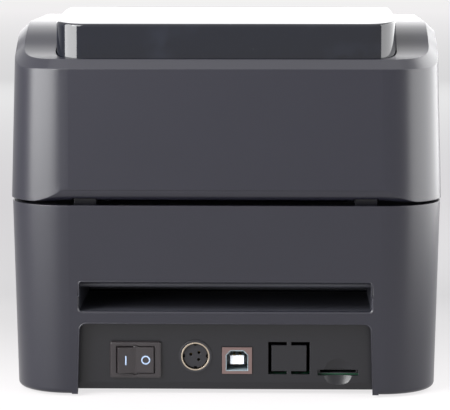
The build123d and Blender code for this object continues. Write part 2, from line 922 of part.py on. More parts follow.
rack_high_z = rack_low_z + rack_thickness
rack_pitch_radius = rack_module * rack_pinion_teeth / 2
rack_pitch_y = roll_y + rack_pitch_radius + mesh_play
rack_back_y = rack_pitch_y + rack_width
foot_slot_low_x = guide_x - guide_thickness / 2 - guide_travel - float_gap
foot_slot_high_x = guide_x + guide_thickness / 2 + float_gap
cheek_low_z = platen_z - bush_radius - cheek_wall
cheek_high_z = base_top_z - float_gap
platen_room = platen_radius + platen_clear
bar_z = slot_high_z - guide_bar_radius - guide_bar_drop
bar_y = rear_y - guide_bar_inset
duct_front_y = roll_y + sqrt(bay_radius**2 - (roll_z - slot_middle_z) ** 2)
duct_fall = (base_top_z - slot_low_z + duct_wall) * tan(radians(base_draft))
duct_rear_y = rear_y - wall - seat_gap - duct_fall
duct_half = slot_width / 2

with BuildPart() as media_bay:
    with BuildSketch(Plane.XY.offset(deck_low_z)):
        Rectangle(2 * body_width, 2 * body_depth)
    extrude(amount=deck_thickness)
    add(base_block(wall + deck_gap), mode=Mode.INTERSECT)
    trough_skin = bay_cylinder(bay_radius + bay_skin, bay_half_width + bay_skin)
    add(trough_skin & plain_box(-body_width, body_width, -body_depth, body_depth, 0, deck_z))
    duct_low = slot_low_z - duct_wall
    duct_high = slot_high_z + duct_wall
    add(plain_box(
        -duct_half - duct_wall, duct_half + duct_wall, duct_front_y, duct_rear_y, duct_low, duct_high,
    ))
    add(bay_cylinder(bay_radius, bay_half_width), mode=Mode.SUBTRACT)
    add(
        plain_box(-duct_half, duct_half, duct_front_y - 3 * duct_wall, rear_y, slot_low_z, slot_high_z),
        mode=Mode.SUBTRACT,
    )
    add(along_x(-duct_half - duct_wall, duct_half + duct_wall, bar_y, bar_z, guide_bar_radius))
    for side in (-1, 1):
        inner = side * cheek_x - cheek_thickness / 2
        outer = side * cheek_x + cheek_thickness / 2
        add(plain_box(
            inner, outer, platen_y - platen_radius, platen_y + platen_radius,
            cheek_low_z, cheek_high_z,
        ))
        # Slots for the guides' feet and notches for the hinge
        foot = side * (rack_pitch_y + rack_width / 2 - roll_y) + roll_y
        ends = (side * foot_slot_low_x, side * foot_slot_high_x)
        add(
            plain_box(
                min(ends), max(ends), foot - rack_width / 2 - float_gap, foot + rack_width / 2 + float_gap,
                0, roll_z - bay_radius + 2 * bay_skin,
            ),
            mode=Mode.SUBTRACT,
        )
        notch_half = knuckle_width / 2 + 2 * lug_gap
        add(
            plain_box(
                side * hinge_x - notch_half, side * hinge_x + notch_half,
                hinge_y - knuckle_reach - 2 * lug_gap, rear_y, deck_low_z - cut_over, deck_z + cut_over,
            ),
            mode=Mode.SUBTRACT,
        )
    add(
        plain_box(
            -inner_cheek_x, inner_cheek_x, platen_y - platen_room, platen_y + platen_room,
            deck_low_z - cut_over, deck_z + cut_over,
        ),
        mode=Mode.SUBTRACT,
    )
    gear_room = gear_module * (platen_teeth / 2 + tooth_top) + gear_clear
    add(
        plain_box(
            gear_x - gear_width, gear_x + gear_width, platen_y - gear_room, platen_y + gear_room,
            deck_low_z - cut_over, deck_z + cut_over,
        ),
        mode=Mode.SUBTRACT,
    )
    collar_room = bush_radius + float_gap
    for low_x, high_x in ((cheek_x + cheek_thickness / 2, gear_x), (-cheek_x - gear_width, -cheek_x)):
        add(
            plain_box(
                low_x, high_x, platen_y - collar_room, platen_y + collar_room,
                deck_low_z - cut_over, deck_z + cut_over,
            ),
            mode=Mode.SUBTRACT,
        )
    add(along_x(-body_width / 2, body_width / 2, platen_y, platen_z, bush_radius) & plain_box(
        -cheek_x - cheek_thickness, cheek_x + cheek_thickness, -body_depth, body_depth, 0, body_depth,
    ), mode=Mode.SUBTRACT)
    # Post that carries the pinion between the racks
    add(upright(0, roll_y, pinion_post_z, trough_low_z + bay_skin / 2, post_radius))
    post_shoulder_radius = post_radius + post_shoulder
    add(upright(0, roll_y, rack_high_z + float_gap, trough_low_z + bay_skin / 2, post_shoulder_radius))
    # Posts that carry the cover under the racks
    for x, y in cover_posts:
        add(upright(x, y, rack_low_z - float_gap, roll_z - bay_radius, cover_post_radius))
keep(media_bay.part, "media_bay")

with BuildPart() as rack_cover:
    with BuildSketch(Plane.XY.offset(rack_low_z - float_gap - cover_thickness)):
        with Locations((0, roll_y)):
            RectangleRounded(cover_length, cover_width, cover_corner)
        with Locations((0, roll_y)):
            Circle(post_radius + fit, mode=Mode.SUBTRACT)
    extrude(amount=cover_thickness)
keep(rack_cover.part, "rack_cover")


# Rocker switch: a bezelled housing and a rocker that turns about an upright axle
with BuildPart() as switch_housing:
    with BuildSketch(panel_plane):
        with Locations(panel_spot(switch_x, switch_z)):
            RectangleRounded(switch_width, switch_height, switch_corner)
    extrude(amount=switch_flange)
    chamfer(switch_housing.faces().sort_by(Axis.Y)[-1].edges(), switch_edge)
    with BuildSketch(panel_plane):
        with Locations(panel_spot(switch_x, switch_z)):
            Rectangle(switch_body_width, switch_body_height)
    extrude(amount=-switch_body_depth)
    cavity_half = rocker_height / 2 + rocker_gap
    cavity = upright(
        switch_x, rocker_axle_y, switch_z - cavity_half, switch_z + cavity_half, rocker_radius + rocker_gap,
    )
    add(cavity, mode=Mode.SUBTRACT)
    axle_room = switch_body_height / 2 - float_gap
    axle_bore = upright(
        switch_x, rocker_axle_y, switch_z - axle_room, switch_z + axle_room, rocker_axle_radius + running_gap,
    )
    add(axle_bore, mode=Mode.SUBTRACT)
    # Two spade terminals at the back
    with BuildSketch(panel_plane.offset(-switch_body_depth)):
        with Locations(panel_spot(switch_x, switch_z)):
            with GridLocations(terminal_pitch, terminal_width, 2, 1):
                Rectangle(terminal_thickness, terminal_width)
    extrude(amount=-terminal_length)
keep(switch_housing.part, "switch_housing")

# The rocker is modelled level and then set with its off side pressed in
with BuildPart() as power_rocker:
    with BuildSketch(Plane.XY.offset(switch_z - rocker_height / 2)):
        with Locations((switch_x, rocker_axle_y)):
            Circle(rocker_radius)
            Polygon(
                (-2 * rocker_radius, -rocker_back), (2 * rocker_radius, -rocker_back),
                (2 * rocker_radius, 2 * rocker_end_rise - rocker_middle_rise),
                (0, rocker_middle_rise),
                (-2 * rocker_radius, 2 * rocker_end_rise - rocker_middle_rise),
                align=None, mode=Mode.INTERSECT,
            )
    extrude(amount=rocker_height)
    axle_half = axle_room - rocker_end_play
    add(upright(switch_x, rocker_axle_y, switch_z - axle_half, switch_z + axle_half, rocker_axle_radius))
rocker_axis = Axis((switch_x, rocker_axle_y, switch_z), (0, 0, 1))
keep(power_rocker.part.rotate(rocker_axis, rocker_throw / 2), "power_rocker")


# Round power socket with three pins
def panel_cylinder(x, z, from_y, to_y, radius):
    """A round bar square to the panel between two places along Y."""
    with BuildPart(mode=Mode.PRIVATE) as bar:
        with BuildSketch(Plane.XZ.offset(-from_y)):
            with Locations((x, z)):
                Circle(radius)
        extrude(amount=from_y - to_y)
    return bar.part


socket_back_y = panel_rear_y - socket_depth
shell_bore = socket_shell_radius - socket_shell_wall
with BuildPart() as power_socket:
    bezel_face_y = panel_rear_y + socket_bezel_proud
    add(panel_cylinder(socket_x, socket_z, panel_rear_y, bezel_face_y, socket_bezel_radius))
    add(panel_cylinder(
        socket_x, socket_z, socket_back_y, panel_rear_y, socket_bezel_radius - socket_bezel_lip - fit,
    ))
    add(plain_box(
        socket_x - socket_bezel_radius, socket_x + socket_bezel_radius, socket_back_y, panel_front_y - fit,
        board_z + board_thickness, socket_z,
    ))
    core_face_y = panel_rear_y - socket_bezel_proud
    groove = panel_cylinder(socket_x, socket_z, socket_back_y + socket_floor, rear_y, socket_shell_radius)
    add(groove, mode=Mode.SUBTRACT)
    add(panel_cylinder(socket_x, socket_z, socket_back_y, core_face_y, socket_insert_radius))
    with BuildSketch(Plane.XZ.offset(-panel_rear_y)):
        with Locations((socket_x, socket_z)):
            for turn in pin_hole_turns:
                with PolarLocations(pin_hole_ring, 1, start_angle=turn):
                    Circle(pin_hole_radius)
            with Locations((0, socket_insert_radius), (0, -socket_insert_radius)):
                Rectangle(2 * pin_hole_radius, 2 * pin_hole_radius)
            with Locations((socket_insert_radius, 0), (-socket_insert_radius, 0)):
                Rectangle(2 * pin_hole_radius, 2 * pin_hole_radius)
    extrude(amount=socket_depth - pin_hole_floor, mode=Mode.SUBTRACT)
keep(power_socket.part, "power_socket_body")

with BuildPart() as power_shell:
    add(panel_cylinder(socket_x, socket_z, socket_back_y + socket_floor, bezel_face_y, socket_shell_radius))
    add(panel_cylinder(socket_x, socket_z, socket_back_y, rear_y, shell_bore), mode=Mode.SUBTRACT)
keep(power_shell.part, "power_socket_shell")

# Square data socket: a folded shell, and an insulator with a tongue
usb_face_y = panel_rear_y + usb_wall
with BuildPart() as usb_shell:
    with BuildSketch(Plane.XZ.offset(-usb_face_y)):
        with Locations((usb_x, usb_z)):
            Rectangle(usb_width, usb_height)
    extrude(amount=usb_depth)
    with BuildSketch(Plane.XZ.offset(-usb_face_y + usb_wall)):
        with Locations((usb_x, usb_z)):
            Rectangle(usb_width - 2 * usb_wall, usb_height - 2 * usb_wall)
    extrude(amount=usb_depth, mode=Mode.SUBTRACT)
    with BuildSketch(Plane.XZ.offset(-usb_face_y)):
        with Locations((usb_x, usb_z)):
            port = Rectangle(usb_port_width, usb_port_height)
            chamfer(port.vertices().group_by(Axis.Y)[-1], usb_port_chamfer)
    extrude(amount=2 * usb_wall, both=True, mode=Mode.SUBTRACT)
keep(usb_shell.part, "data_socket_shell")

with BuildPart() as usb_insert:
    with BuildSketch(Plane.XZ.offset(usb_depth - usb_face_y)):
        with Locations((usb_x, usb_z)):
            Rectangle(usb_width - 2 * usb_wall, usb_height - 2 * usb_wall)
    extrude(amount=-usb_back)
    with BuildSketch(Plane.XZ.offset(usb_depth - usb_face_y)):
        with Locations((usb_x, usb_z)):
            Rectangle(usb_tongue_width, usb_tongue_height)
    extrude(amount=usb_back - usb_depth)
keep(usb_insert.part, "data_socket_tongue")

# Circuit board on the tray's pillars, and the card socket on it
with BuildPart() as main_board:
    with BuildSketch(Plane.XY.offset(board_z)):
        with Locations((0, board_rear_y - board_length / 2)):
            RectangleRounded(board_width, board_length, board_corner)
        notch_depth = 2 * (switch_body_depth + terminal_length + board_notch_gap)
        with Locations((switch_x, panel_rear_y)):
            Rectangle(switch_width + 2 * board_notch_gap, notch_depth, mode=Mode.SUBTRACT)
    extrude(amount=board_thickness)
keep(main_board.part, "main_board")

with BuildPart() as card_socket:
    with BuildSketch(Plane.XY.offset(board_z + board_thickness)):
        with Locations((card_x, board_rear_y - card_socket_depth / 2)):
            Rectangle(card_width, card_socket_depth)
    extrude(amount=card_socket_height)
    with BuildSketch(Plane.XZ.offset(-board_rear_y)):
        with Locations((card_x, board_z + board_thickness + card_socket_height / 2)):
            Rectangle(card_width - 2 * card_socket_wall, card_socket_height - 2 * card_socket_skin)
    extrude(amount=card_socket_depth - 2 * card_socket_wall, mode=Mode.SUBTRACT)
keep(card_socket.part, "card_socket")


# Gears with involute flanks, drawn about the middle of their own plane
def gear_outline(module, teeth, phase):
    """The outline of a spur gear, with a tooth at phase, in radians."""
    pitch = module * teeth / 2
    base = pitch * cos(pressure_angle)
    tip = pitch + tooth_top * module
    root = pitch - tooth_foot * module
    half_tooth = pi / (2 * teeth) - mesh_play / (2 * pitch)
    roll = tan(pressure_angle) - pressure_angle
    start = max(base, root)
    flank = []
    for step in range(flank_steps + 1):
        reach = start + (tip - start) * step / flank_steps
        pressure = acos(base / reach)
        flank.append((reach, half_tooth + roll - (tan(pressure) - pressure)))
    side = [(root, flank[0][1])] + flank
    points = []
    for tooth in range(teeth):
        middle = phase + 2 * pi * tooth / teeth
        points += [(r * cos(middle - a), r * sin(middle - a)) for r, a in side]
        points += [(r * cos(middle + a), r * sin(middle + a)) for r, a in reversed(side)]
    return points


def gear_body(plane, module, teeth, phase, width, bore):
    """A spur gear rising from a plane, with a bore."""
    with BuildPart(mode=Mode.PRIVATE) as gear:
        with BuildSketch(plane):
            with BuildLine():
                Polyline(*gear_outline(module, teeth, phase), close=True)
            make_face()
            Circle(bore, mode=Mode.SUBTRACT)
        extrude(amount=width)
    return gear.part


def meshing_phase(phase, teeth, next_teeth, direction):
    """The phase of a gear whose tooth gap meets a tooth of the gear before it."""
    pitch = 2 * pi / teeth
    next_pitch = 2 * pi / next_teeth
    return direction + pi - next_pitch * (0.5 - (direction - phase) / pitch)


def across(y, z, x=0):
    """The plane across the printer at x, with its origin at y and z."""
    return Plane(origin=(x, y, z), x_dir=(0, 1, 0), z_dir=(1, 0, 0))


idler_angle = radians(idler_direction)
pinion_angle = radians(pinion_direction)
idler_reach = gear_module * (platen_teeth + idler_teeth) / 2 + mesh_play
pinion_reach = gear_module * (idler_teeth + pinion_teeth) / 2 + mesh_play
idler_y = platen_y + idler_reach * cos(idler_angle)
idler_z = platen_z + idler_reach * sin(idler_angle)
motor_y = idler_y + pinion_reach * cos(pinion_angle)
motor_z = idler_z + pinion_reach * sin(pinion_angle)
bracket_rear_y = motor_y + motor_side / 2 + bracket_margin
idler_phase = meshing_phase(0, platen_teeth, idler_teeth, idler_angle)
pinion_phase = meshing_phase(idler_phase, idler_teeth, pinion_teeth, pinion_angle)
gear_low_x = gear_x - gear_width / 2
gear_high_x = gear_x + gear_width / 2
shaft_left_x = -cheek_x - cheek_thickness / 2 - 2 * bush_flange
shaft_right_x = gear_high_x + shaft_tail

# Platen roller: steel shaft, rubber sleeve, two bushes and a gear
with BuildPart() as platen_shaft:
    add(along_x(shaft_left_x, shaft_right_x, platen_y, platen_z, shaft_radius))
    add(along_x(-platen_length / 2, platen_length / 2, platen_y, platen_z, platen_core_radius))
    chamfer(platen_shaft.edges().group_by(Axis.X)[0], shaft_edge)
    chamfer(platen_shaft.edges().group_by(Axis.X)[-1], shaft_edge)
keep(platen_shaft.part, "platen_shaft")

with BuildPart() as platen_rubber:
    add(along_x(-platen_length / 2, platen_length / 2, platen_y, platen_z, platen_radius))
    add(along_x(-platen_length, platen_length, platen_y, platen_z, platen_core_radius), mode=Mode.SUBTRACT)
    chamfer(platen_rubber.edges().filter_by(GeomType.CIRCLE).group_by(SortBy.RADIUS)[-1], shaft_edge)
keep(platen_rubber.part, "platen_rubber")

with BuildPart() as platen_bushes:
    for side in (-1, 1):
        inner = side * (cheek_x - cheek_thickness / 2)
        outer = side * (cheek_x + cheek_thickness / 2)
        lip = inner - side * bush_flange
        add(along_x(min(inner, outer), max(inner, outer), platen_y, platen_z, bush_radius))
        add(along_x(min(inner, lip), max(inner, lip), platen_y, platen_z, bush_flange_radius))
    bush_bore = shaft_radius + running_gap
    add(along_x(-body_width, body_width, platen_y, platen_z, bush_bore), mode=Mode.SUBTRACT)
keep(platen_bushes.part, "platen_bushes")

with BuildPart() as platen_gear:
    gear_place = across(platen_y, platen_z, gear_low_x)
    add(gear_body(gear_place, gear_module, platen_teeth, 0, gear_width, shaft_radius))
    collar_low_x = cheek_x + cheek_thickness / 2 + float_gap
    add(along_x(collar_low_x, gear_low_x, platen_y, platen_z, bush_radius))
    add(along_x(collar_low_x, gear_low_x, platen_y, platen_z, shaft_radius), mode=Mode.SUBTRACT)
keep(platen_gear.part, "platen_gear")

with BuildPart() as idler_gear:
    gear_place = across(idler_y, idler_z, gear_low_x)
    bore = idler_axle_radius + running_gap
    add(gear_body(gear_place, gear_module, idler_teeth, idler_phase, gear_width, bore))
    with BuildSketch(across(idler_y, idler_z, gear_high_x)):
        with PolarLocations(idler_hole_ring, idler_hole_count):
            Circle(idler_hole_radius)
    extrude(amount=-gear_width, mode=Mode.SUBTRACT)
keep(idler_gear.part, "idler_gear")

with BuildPart() as motor_pinion:
    gear_place = across(motor_y, motor_z, gear_low_x)
    add(gear_body(gear_place, gear_module, pinion_teeth, pinion_phase, gear_width, motor_shaft_radius))
keep(motor_pinion.part, "motor_pinion")

bracket_high_x = bracket_x + bracket_thickness
with BuildPart() as gear_bracket:
    with BuildSketch(across(0, 0, bracket_x)):
        with BuildLine():
            FilletPolyline(
                (bracket_front_y, deck_low_z), (bracket_front_y, motor_z),
                (motor_y - motor_side / 2, motor_z - motor_side / 2),
                (bracket_rear_y, motor_z - motor_side / 2),
                (bracket_rear_y, deck_low_z), radius=motor_corner,
            )
            Line((bracket_rear_y, deck_low_z), (bracket_front_y, deck_low_z))
        make_face()
        with Locations((motor_y, motor_z)):
            Circle(motor_pilot_radius + fit, mode=Mode.SUBTRACT)
        with Locations((motor_y, motor_z)):
            with GridLocations(motor_hole_pitch, motor_hole_pitch, 2, 2):
                Circle(motor_screw_radius, mode=Mode.SUBTRACT)
    extrude(amount=bracket_thickness)
    # Flange under the deck
    add(plain_box(
        bracket_x - bracket_flange, bracket_high_x, bracket_front_y, bracket_rear_y,
        deck_low_z - bracket_thickness, deck_low_z,
    ))
    add(along_x(bracket_high_x, gear_low_x - fit, idler_y, idler_z, idler_axle_radius + axle_collar))
    add(along_x(bracket_high_x, gear_high_x + shaft_tail, idler_y, idler_z, idler_axle_radius))
keep(gear_bracket.part, "gear_bracket")

with BuildPart() as stepper_motor:
    with BuildSketch(across(motor_y, motor_z, bracket_x)):
        body = Rectangle(motor_side, motor_side)
        chamfer(body.vertices(), motor_corner)
        with GridLocations(motor_hole_pitch, motor_hole_pitch, 2, 2):
            Circle(motor_screw_radius, mode=Mode.SUBTRACT)
    extrude(amount=-motor_length)
    with BuildSketch(across(motor_y, motor_z, bracket_x - motor_cap)):
        Rectangle(2 * motor_side, 2 * motor_side)
        Rectangle(motor_side - 2 * motor_step, motor_side - 2 * motor_step, mode=Mode.SUBTRACT)
    extrude(amount=2 * motor_cap - motor_length, mode=Mode.SUBTRACT)
    add(along_x(bracket_x, bracket_x + bracket_thickness, motor_y, motor_z, motor_pilot_radius))
    add(along_x(
        bracket_x - motor_bore_depth, bracket_high_x, motor_y, motor_z, motor_shaft_radius + running_gap,
    ), mode=Mode.SUBTRACT)
keep(stepper_motor.part, "stepper_motor")

with BuildPart() as motor_shaft:
    shaft_low_x = bracket_x - motor_bore_depth + float_gap
    add(along_x(shaft_low_x, gear_high_x + shaft_tail, motor_y, motor_z, motor_shaft_radius))
keep(motor_shaft.part, "motor_shaft")


# Roll guides: two upright plates on racks that meet one pinion
def rack_outline(low_x, high_x):
    """A rack with its teeth towards -Y, its pitch line at rack_pitch_y and a gap at X = 0."""
    tooth_pitch = pi * rack_module
    top = rack_pitch_y - tooth_top * rack_module
    foot = rack_pitch_y + tooth_foot * rack_module
    slant = tan(pressure_angle)
    half = tooth_pitch / 4 - mesh_play / 2
    first = ceil(low_x / tooth_pitch - 0.5)
    last = floor(high_x / tooth_pitch - 0.5)
    points = [(low_x, rack_back_y), (low_x, foot)]
    for tooth in range(first + 1, last):
        middle = (tooth + 0.5) * tooth_pitch
        wide = half + tooth_foot * rack_module * slant
        narrow = half - tooth_top * rack_module * slant
        points += [(middle - wide, foot), (middle - narrow, top)]
        points += [(middle + narrow, top), (middle + wide, foot)]
    return points + [(high_x, foot), (high_x, rack_back_y)]


guide_inner_x = guide_x - guide_thickness / 2
guide_outer_x = guide_x + guide_thickness / 2
foot_low_y = rack_back_y - rack_width


def roll_guide():
    """The guide at +X, with its rack on the +Y side of the pinion."""
    with BuildPart(mode=Mode.PRIVATE) as guide:
        with BuildSketch(Plane.YZ.offset(guide_inner_x)):
            with BuildLine():
                low = roll_z - bay_radius
                Polyline(
                    (roll_y - guide_top_radius, roll_z), (roll_y - guide_half_width, low),
                    (roll_y + guide_half_width, low), (roll_y + guide_top_radius, roll_z),
                )
                ThreePointArc(
                    (roll_y + guide_top_radius, roll_z), (roll_y, roll_z + guide_top_radius),
                    (roll_y - guide_top_radius, roll_z),
                )
            make_face()
            with Locations((roll_y, roll_z - guide_slot_drop)):
                SlotOverall(guide_slot_length, guide_slot_width, rotation=90, mode=Mode.SUBTRACT)
        extrude(amount=guide_thickness)
        add(bay_cylinder(bay_radius - guide_clear, body_width), mode=Mode.INTERSECT)
        chamfer(guide.edges().filter_by(GeomType.CIRCLE).group_by(Axis.Z)[-1], guide_edge)
        add(plain_box(
            guide_inner_x, guide_outer_x, foot_low_y, rack_back_y,
            rack_low_z, roll_z - bay_radius + 3 * guide_clear,
        ))
        with BuildSketch(Plane.XY.offset(rack_low_z)):
            with BuildLine():
                Polyline(*rack_outline(-rack_lead, guide_outer_x), close=True)
            make_face()
        extrude(amount=rack_thickness)
        add(along_x(guide_inner_x - hub_length - hub_clear, guide_inner_x, roll_y, roll_z, hub_pin_radius))
    return guide.part


guide_part = roll_guide()
keep(Part(guide_part.wrapped), "roll_guide_right")
half_turn = Axis((0, roll_y, 0), (0, 0, 1))
keep(guide_part.rotate(half_turn, 180), "roll_guide_left")


def roll_hub():
    """The hub on the guide at +X, a tapered core holder."""
    with BuildPart(mode=Mode.PRIVATE) as hub:
        hub_base_x = guide_inner_x - hub_clear
        hub_end_x = guide_inner_x - hub_length
        bore = hub_pin_radius + running_gap
        with BuildSketch(Plane(origin=(0, roll_y, roll_z), x_dir=(1, 0, 0), z_dir=(0, -1, 0))):
            with BuildLine():
                Polyline(
                    (hub_base_x, bore), (hub_base_x, hub_radius), (hub_base_x - hub_rim, hub_radius),
                    (hub_end_x, hub_nose_radius), (hub_end_x, bore), close=True,
                )
            make_face()
        revolve(axis=Axis((0, roll_y, roll_z), (1, 0, 0)))
        with BuildSketch(across(roll_y, roll_z, hub_end_x)):
            with PolarLocations((hub_pin_radius + hub_nose_radius) / 2, hub_hole_count):
                Circle(hub_hole_radius)
        extrude(amount=hub_length - hub_clear - hub_web, mode=Mode.SUBTRACT)
    return hub.part


hub_part = roll_hub()
keep(Part(hub_part.wrapped), "roll_hub_right")
keep(hub_part.rotate(half_turn, 180), "roll_hub_left")

# Pinion between the racks, under the trough
with BuildPart() as guide_pinion:
    with BuildSketch(Plane(origin=(0, roll_y, rack_low_z), x_dir=(1, 0, 0), z_dir=(0, 0, 1))):
        with BuildLine():
            Polyline(*gear_outline(rack_module, rack_pinion_teeth, pi / 2), close=True)
        make_face()
        Circle(post_radius + running_gap, mode=Mode.SUBTRACT)
    extrude(amount=rack_thickness)
keep(guide_pinion.part, "guide_pinion")


# Print head on its beam in the lid
with BuildPart() as print_head:
    add(plain_box(
        -head_width / 2, head_width / 2, platen_y - head_depth / 2, platen_y + head_depth / 2,
        heatsink_low_z, heatsink_high_z,
    ))
    # Fins along the rear of the heatsink
    for row in range(fin_count):
        fin_y = platen_y + head_depth / 2 - fin_pitch * (row + 1)
        add(plain_box(
            -head_width, head_width, fin_y - fin_gap / 2, fin_y + fin_gap / 2,
            heatsink_high_z - fin_depth, heatsink_high_z + cut_over,
        ), mode=Mode.SUBTRACT)
    add(plain_box(
        -platen_length / 2, platen_length / 2, platen_y - ceramic_depth / 2, platen_y + ceramic_depth / 2,
        head_low_z, heatsink_low_z,
    ))
    for x in (-guide_stud_x, guide_stud_x):
        boss_low = heatsink_low_z + ceramic_thickness
        stud_bore = guide_stud_radius + running_gap
        add(upright(x, platen_y, boss_low, heatsink_high_z, head_boss_radius))
        add(upright(x, platen_y, boss_low, heatsink_high_z + cut_over, stud_bore), mode=Mode.SUBTRACT)
keep(print_head.part, "print_head")

with BuildPart() as head_beam:
    with BuildSketch(Plane.YZ.offset(-beam_width / 2)):
        with BuildLine():
            low_front = (beam_front_y, beam_z)
            Polyline(
                low_front, (beam_rear_y, beam_z), (beam_rear_y, beam_z + beam_lip),
                (beam_rear_y - beam_thickness, beam_z + beam_lip),
                (beam_rear_y - beam_thickness, beam_z + beam_thickness),
                (beam_front_y, beam_z + beam_thickness), low_front,
            )
        make_face()
    extrude(amount=beam_width)
    for x in (-guide_stud_x, guide_stud_x):
        add(upright(x, platen_y, beam_z - stud_length, beam_z, guide_stud_radius))
        add(upright(x, platen_y, beam_z - stud_collar_height, beam_z, guide_stud_radius + stud_collar))
    for x, y in beam_posts:
        add(upright(x, y, 0, body_depth, screw_radius), mode=Mode.SUBTRACT)
keep(head_beam.part, "head_beam")

# Serrated tear bar inside the lid's front wall
tear_front_y = lid_front_y + wall
tooth_count = int(exit_width / tear_tooth)
tear_low_z = exit_high_z - tear_drop
with BuildPart() as tear_bar:
    with BuildSketch(Plane.XZ.offset(-tear_front_y)):
        with BuildLine():
            left = -tooth_count * tear_tooth / 2
            teeth = []
            for tooth in range(tooth_count):
                teeth.append((left + tooth * tear_tooth, tear_low_z + tear_tooth))
                teeth.append((left + (tooth + 0.5) * tear_tooth, tear_low_z))
            top = tear_low_z + tear_bar_height
            Polyline(*teeth, (-left, tear_low_z + tear_tooth), (-left, top), (left, top), close=True)
        make_face()
    extrude(amount=-tear_bar_thickness)
keep(tear_bar.part, "tear_bar")

# Feed button, lamps and the small board under them, in the front slope
with BuildPart() as feed_button:
    with BuildSketch(control_plane.offset(button_rise)):
        with Locations((button_x, 0)):
            Circle(button_radius)
    extrude(amount=-button_rise - button_foot)
    chamfer(feed_button.edges().group_by(Axis.Z)[-1], button_edge)
    with BuildSketch(control_plane.offset(-flange_depth)):
        with Locations((button_x, 0)):
            Circle(button_radius + button_flange)
    extrude(amount=-button_flange)
keep(feed_button.part, "feed_button")

with BuildPart() as status_lamps:
    with BuildSketch(control_plane.offset(fit)):
        with Locations(*lamp_places):
            Circle(lamp_radius)
    extrude(amount=-fit - board_depth)
keep(status_lamps.part, "status_lamps")

with BuildPart() as control_board:
    board_middle = (button_x + control_boss_reach + lamp_x - lamp_count * lamp_pitch) / 2
    with BuildSketch(control_plane.offset(-board_depth)):
        with Locations((board_middle, 0)):
            Rectangle(control_board_width, control_board_depth)
    extrude(amount=-control_board_thickness)
    with BuildSketch(control_plane.offset(-board_depth)):
        with Locations((button_x, 0)):
            Rectangle(tact_width, tact_width)
    extrude(amount=tact_height)
keep(control_board.part, "control_board")


# Latch tabs in the lid's side walls
def latch_tab(side):
    """A tab with finger grooves outside the wall and a flange inside it."""
    face_x = side * latch_face_x
    inner_x = side * (latch_flange_x - latch_flange / 2)
    outer_x = side * (latch_flange_x + latch_flange / 2)
    front = latch_y - latch_length / 2
    rear = latch_y + latch_length / 2
    high = latch_low_z + latch_height
    with BuildPart(mode=Mode.PRIVATE) as tab:
        add(plain_box(min(face_x, inner_x), max(face_x, inner_x), front, rear, latch_low_z, high))
        groove_x = face_x - side * grip_depth
        for groove in range(1, grip_count + 1):
            groove_y = front + groove * latch_length / (grip_count + 1)
            add(plain_box(
                min(face_x, groove_x), max(face_x, groove_x),
                groove_y - grip_width / 2, groove_y + grip_width / 2,
                latch_low_z + grip_margin, high - grip_margin,
            ), mode=Mode.SUBTRACT)
        add(plain_box(
            min(inner_x, outer_x), max(inner_x, outer_x),
            front - latch_flange_grow, rear + latch_travel + latch_flange_grow,
            latch_low_z - latch_flange_foot, high + latch_flange_grow,
        ))
    return tab.part


keep(latch_tab(1), "latch_tab_right")
keep(latch_tab(-1), "latch_tab_left")

with BuildPart() as hinge_pins:
    for side in (-1, 1):
        half = lug_x + lug_width / 2
        add(along_x(side * hinge_x - half, side * hinge_x + half, hinge_y, hinge_z, hinge_pin_radius))
keep(hinge_pins.part, "hinge_pins")
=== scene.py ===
import math

import bmesh
import bpy
from mathutils import Matrix, Vector


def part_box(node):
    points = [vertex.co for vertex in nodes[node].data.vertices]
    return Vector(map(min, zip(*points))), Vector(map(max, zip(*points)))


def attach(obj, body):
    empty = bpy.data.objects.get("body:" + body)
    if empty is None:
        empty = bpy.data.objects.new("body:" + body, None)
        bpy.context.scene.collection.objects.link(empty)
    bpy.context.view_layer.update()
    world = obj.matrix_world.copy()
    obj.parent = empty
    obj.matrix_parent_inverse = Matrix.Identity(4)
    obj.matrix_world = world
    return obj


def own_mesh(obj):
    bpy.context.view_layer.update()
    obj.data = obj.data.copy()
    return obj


# Desktop label printer, seen from behind: charcoal shells, a gloss hood and a recessed socket panel.
# Places and sizes are in millimetres, apart from the stage, the lamps and the floor, which are in metres.
MM = 0.001

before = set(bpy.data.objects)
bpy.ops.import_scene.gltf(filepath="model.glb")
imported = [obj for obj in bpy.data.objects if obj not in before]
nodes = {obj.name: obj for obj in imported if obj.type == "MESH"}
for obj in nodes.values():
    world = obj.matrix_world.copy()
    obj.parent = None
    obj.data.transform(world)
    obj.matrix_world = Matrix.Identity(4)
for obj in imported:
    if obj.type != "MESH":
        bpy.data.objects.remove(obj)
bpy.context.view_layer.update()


def place(x, y, z):
    """A place given in millimetres."""
    return Vector((x, y, z)) * MM


def span(node):
    """A node's lowest and highest corners in millimetres."""
    low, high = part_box(node)
    return Vector(low) / MM, Vector(high) / MM


# Materials
def linear(hex_colour):
    """A colour given as sRGB hex, made linear."""
    values = [int(hex_colour[i : i + 2], 16) / 255 for i in (1, 3, 5)]
    return [v / 12.92 if v <= 0.04045 else ((v + 0.055) / 1.055) ** 2.4 for v in values] + [1.0]


def add_node(tree, kind, settings=None, inputs=None):
    """Add a node with its settings. An input is named or numbered, and gets a value or an output."""
    node = tree.nodes.new(kind)
    for key, value in (settings or {}).items():
        setattr(node, key, value)
    for key, value in (inputs or {}).items():
        if isinstance(value, bpy.types.NodeSocket):
            tree.links.new(value, node.inputs[key])
        else:
            node.inputs[key].default_value = value
    return node


def new_material(name):
    """An empty node material and its tree."""
    material = bpy.data.materials.new(name)
    material.use_nodes = True
    material.node_tree.nodes.clear()
    return material, material.node_tree


def end_material(material, surface):
    """Give a material its surface, and hand it back."""
    add_node(material.node_tree, "ShaderNodeOutputMaterial", None, {"Surface": surface})
    return material


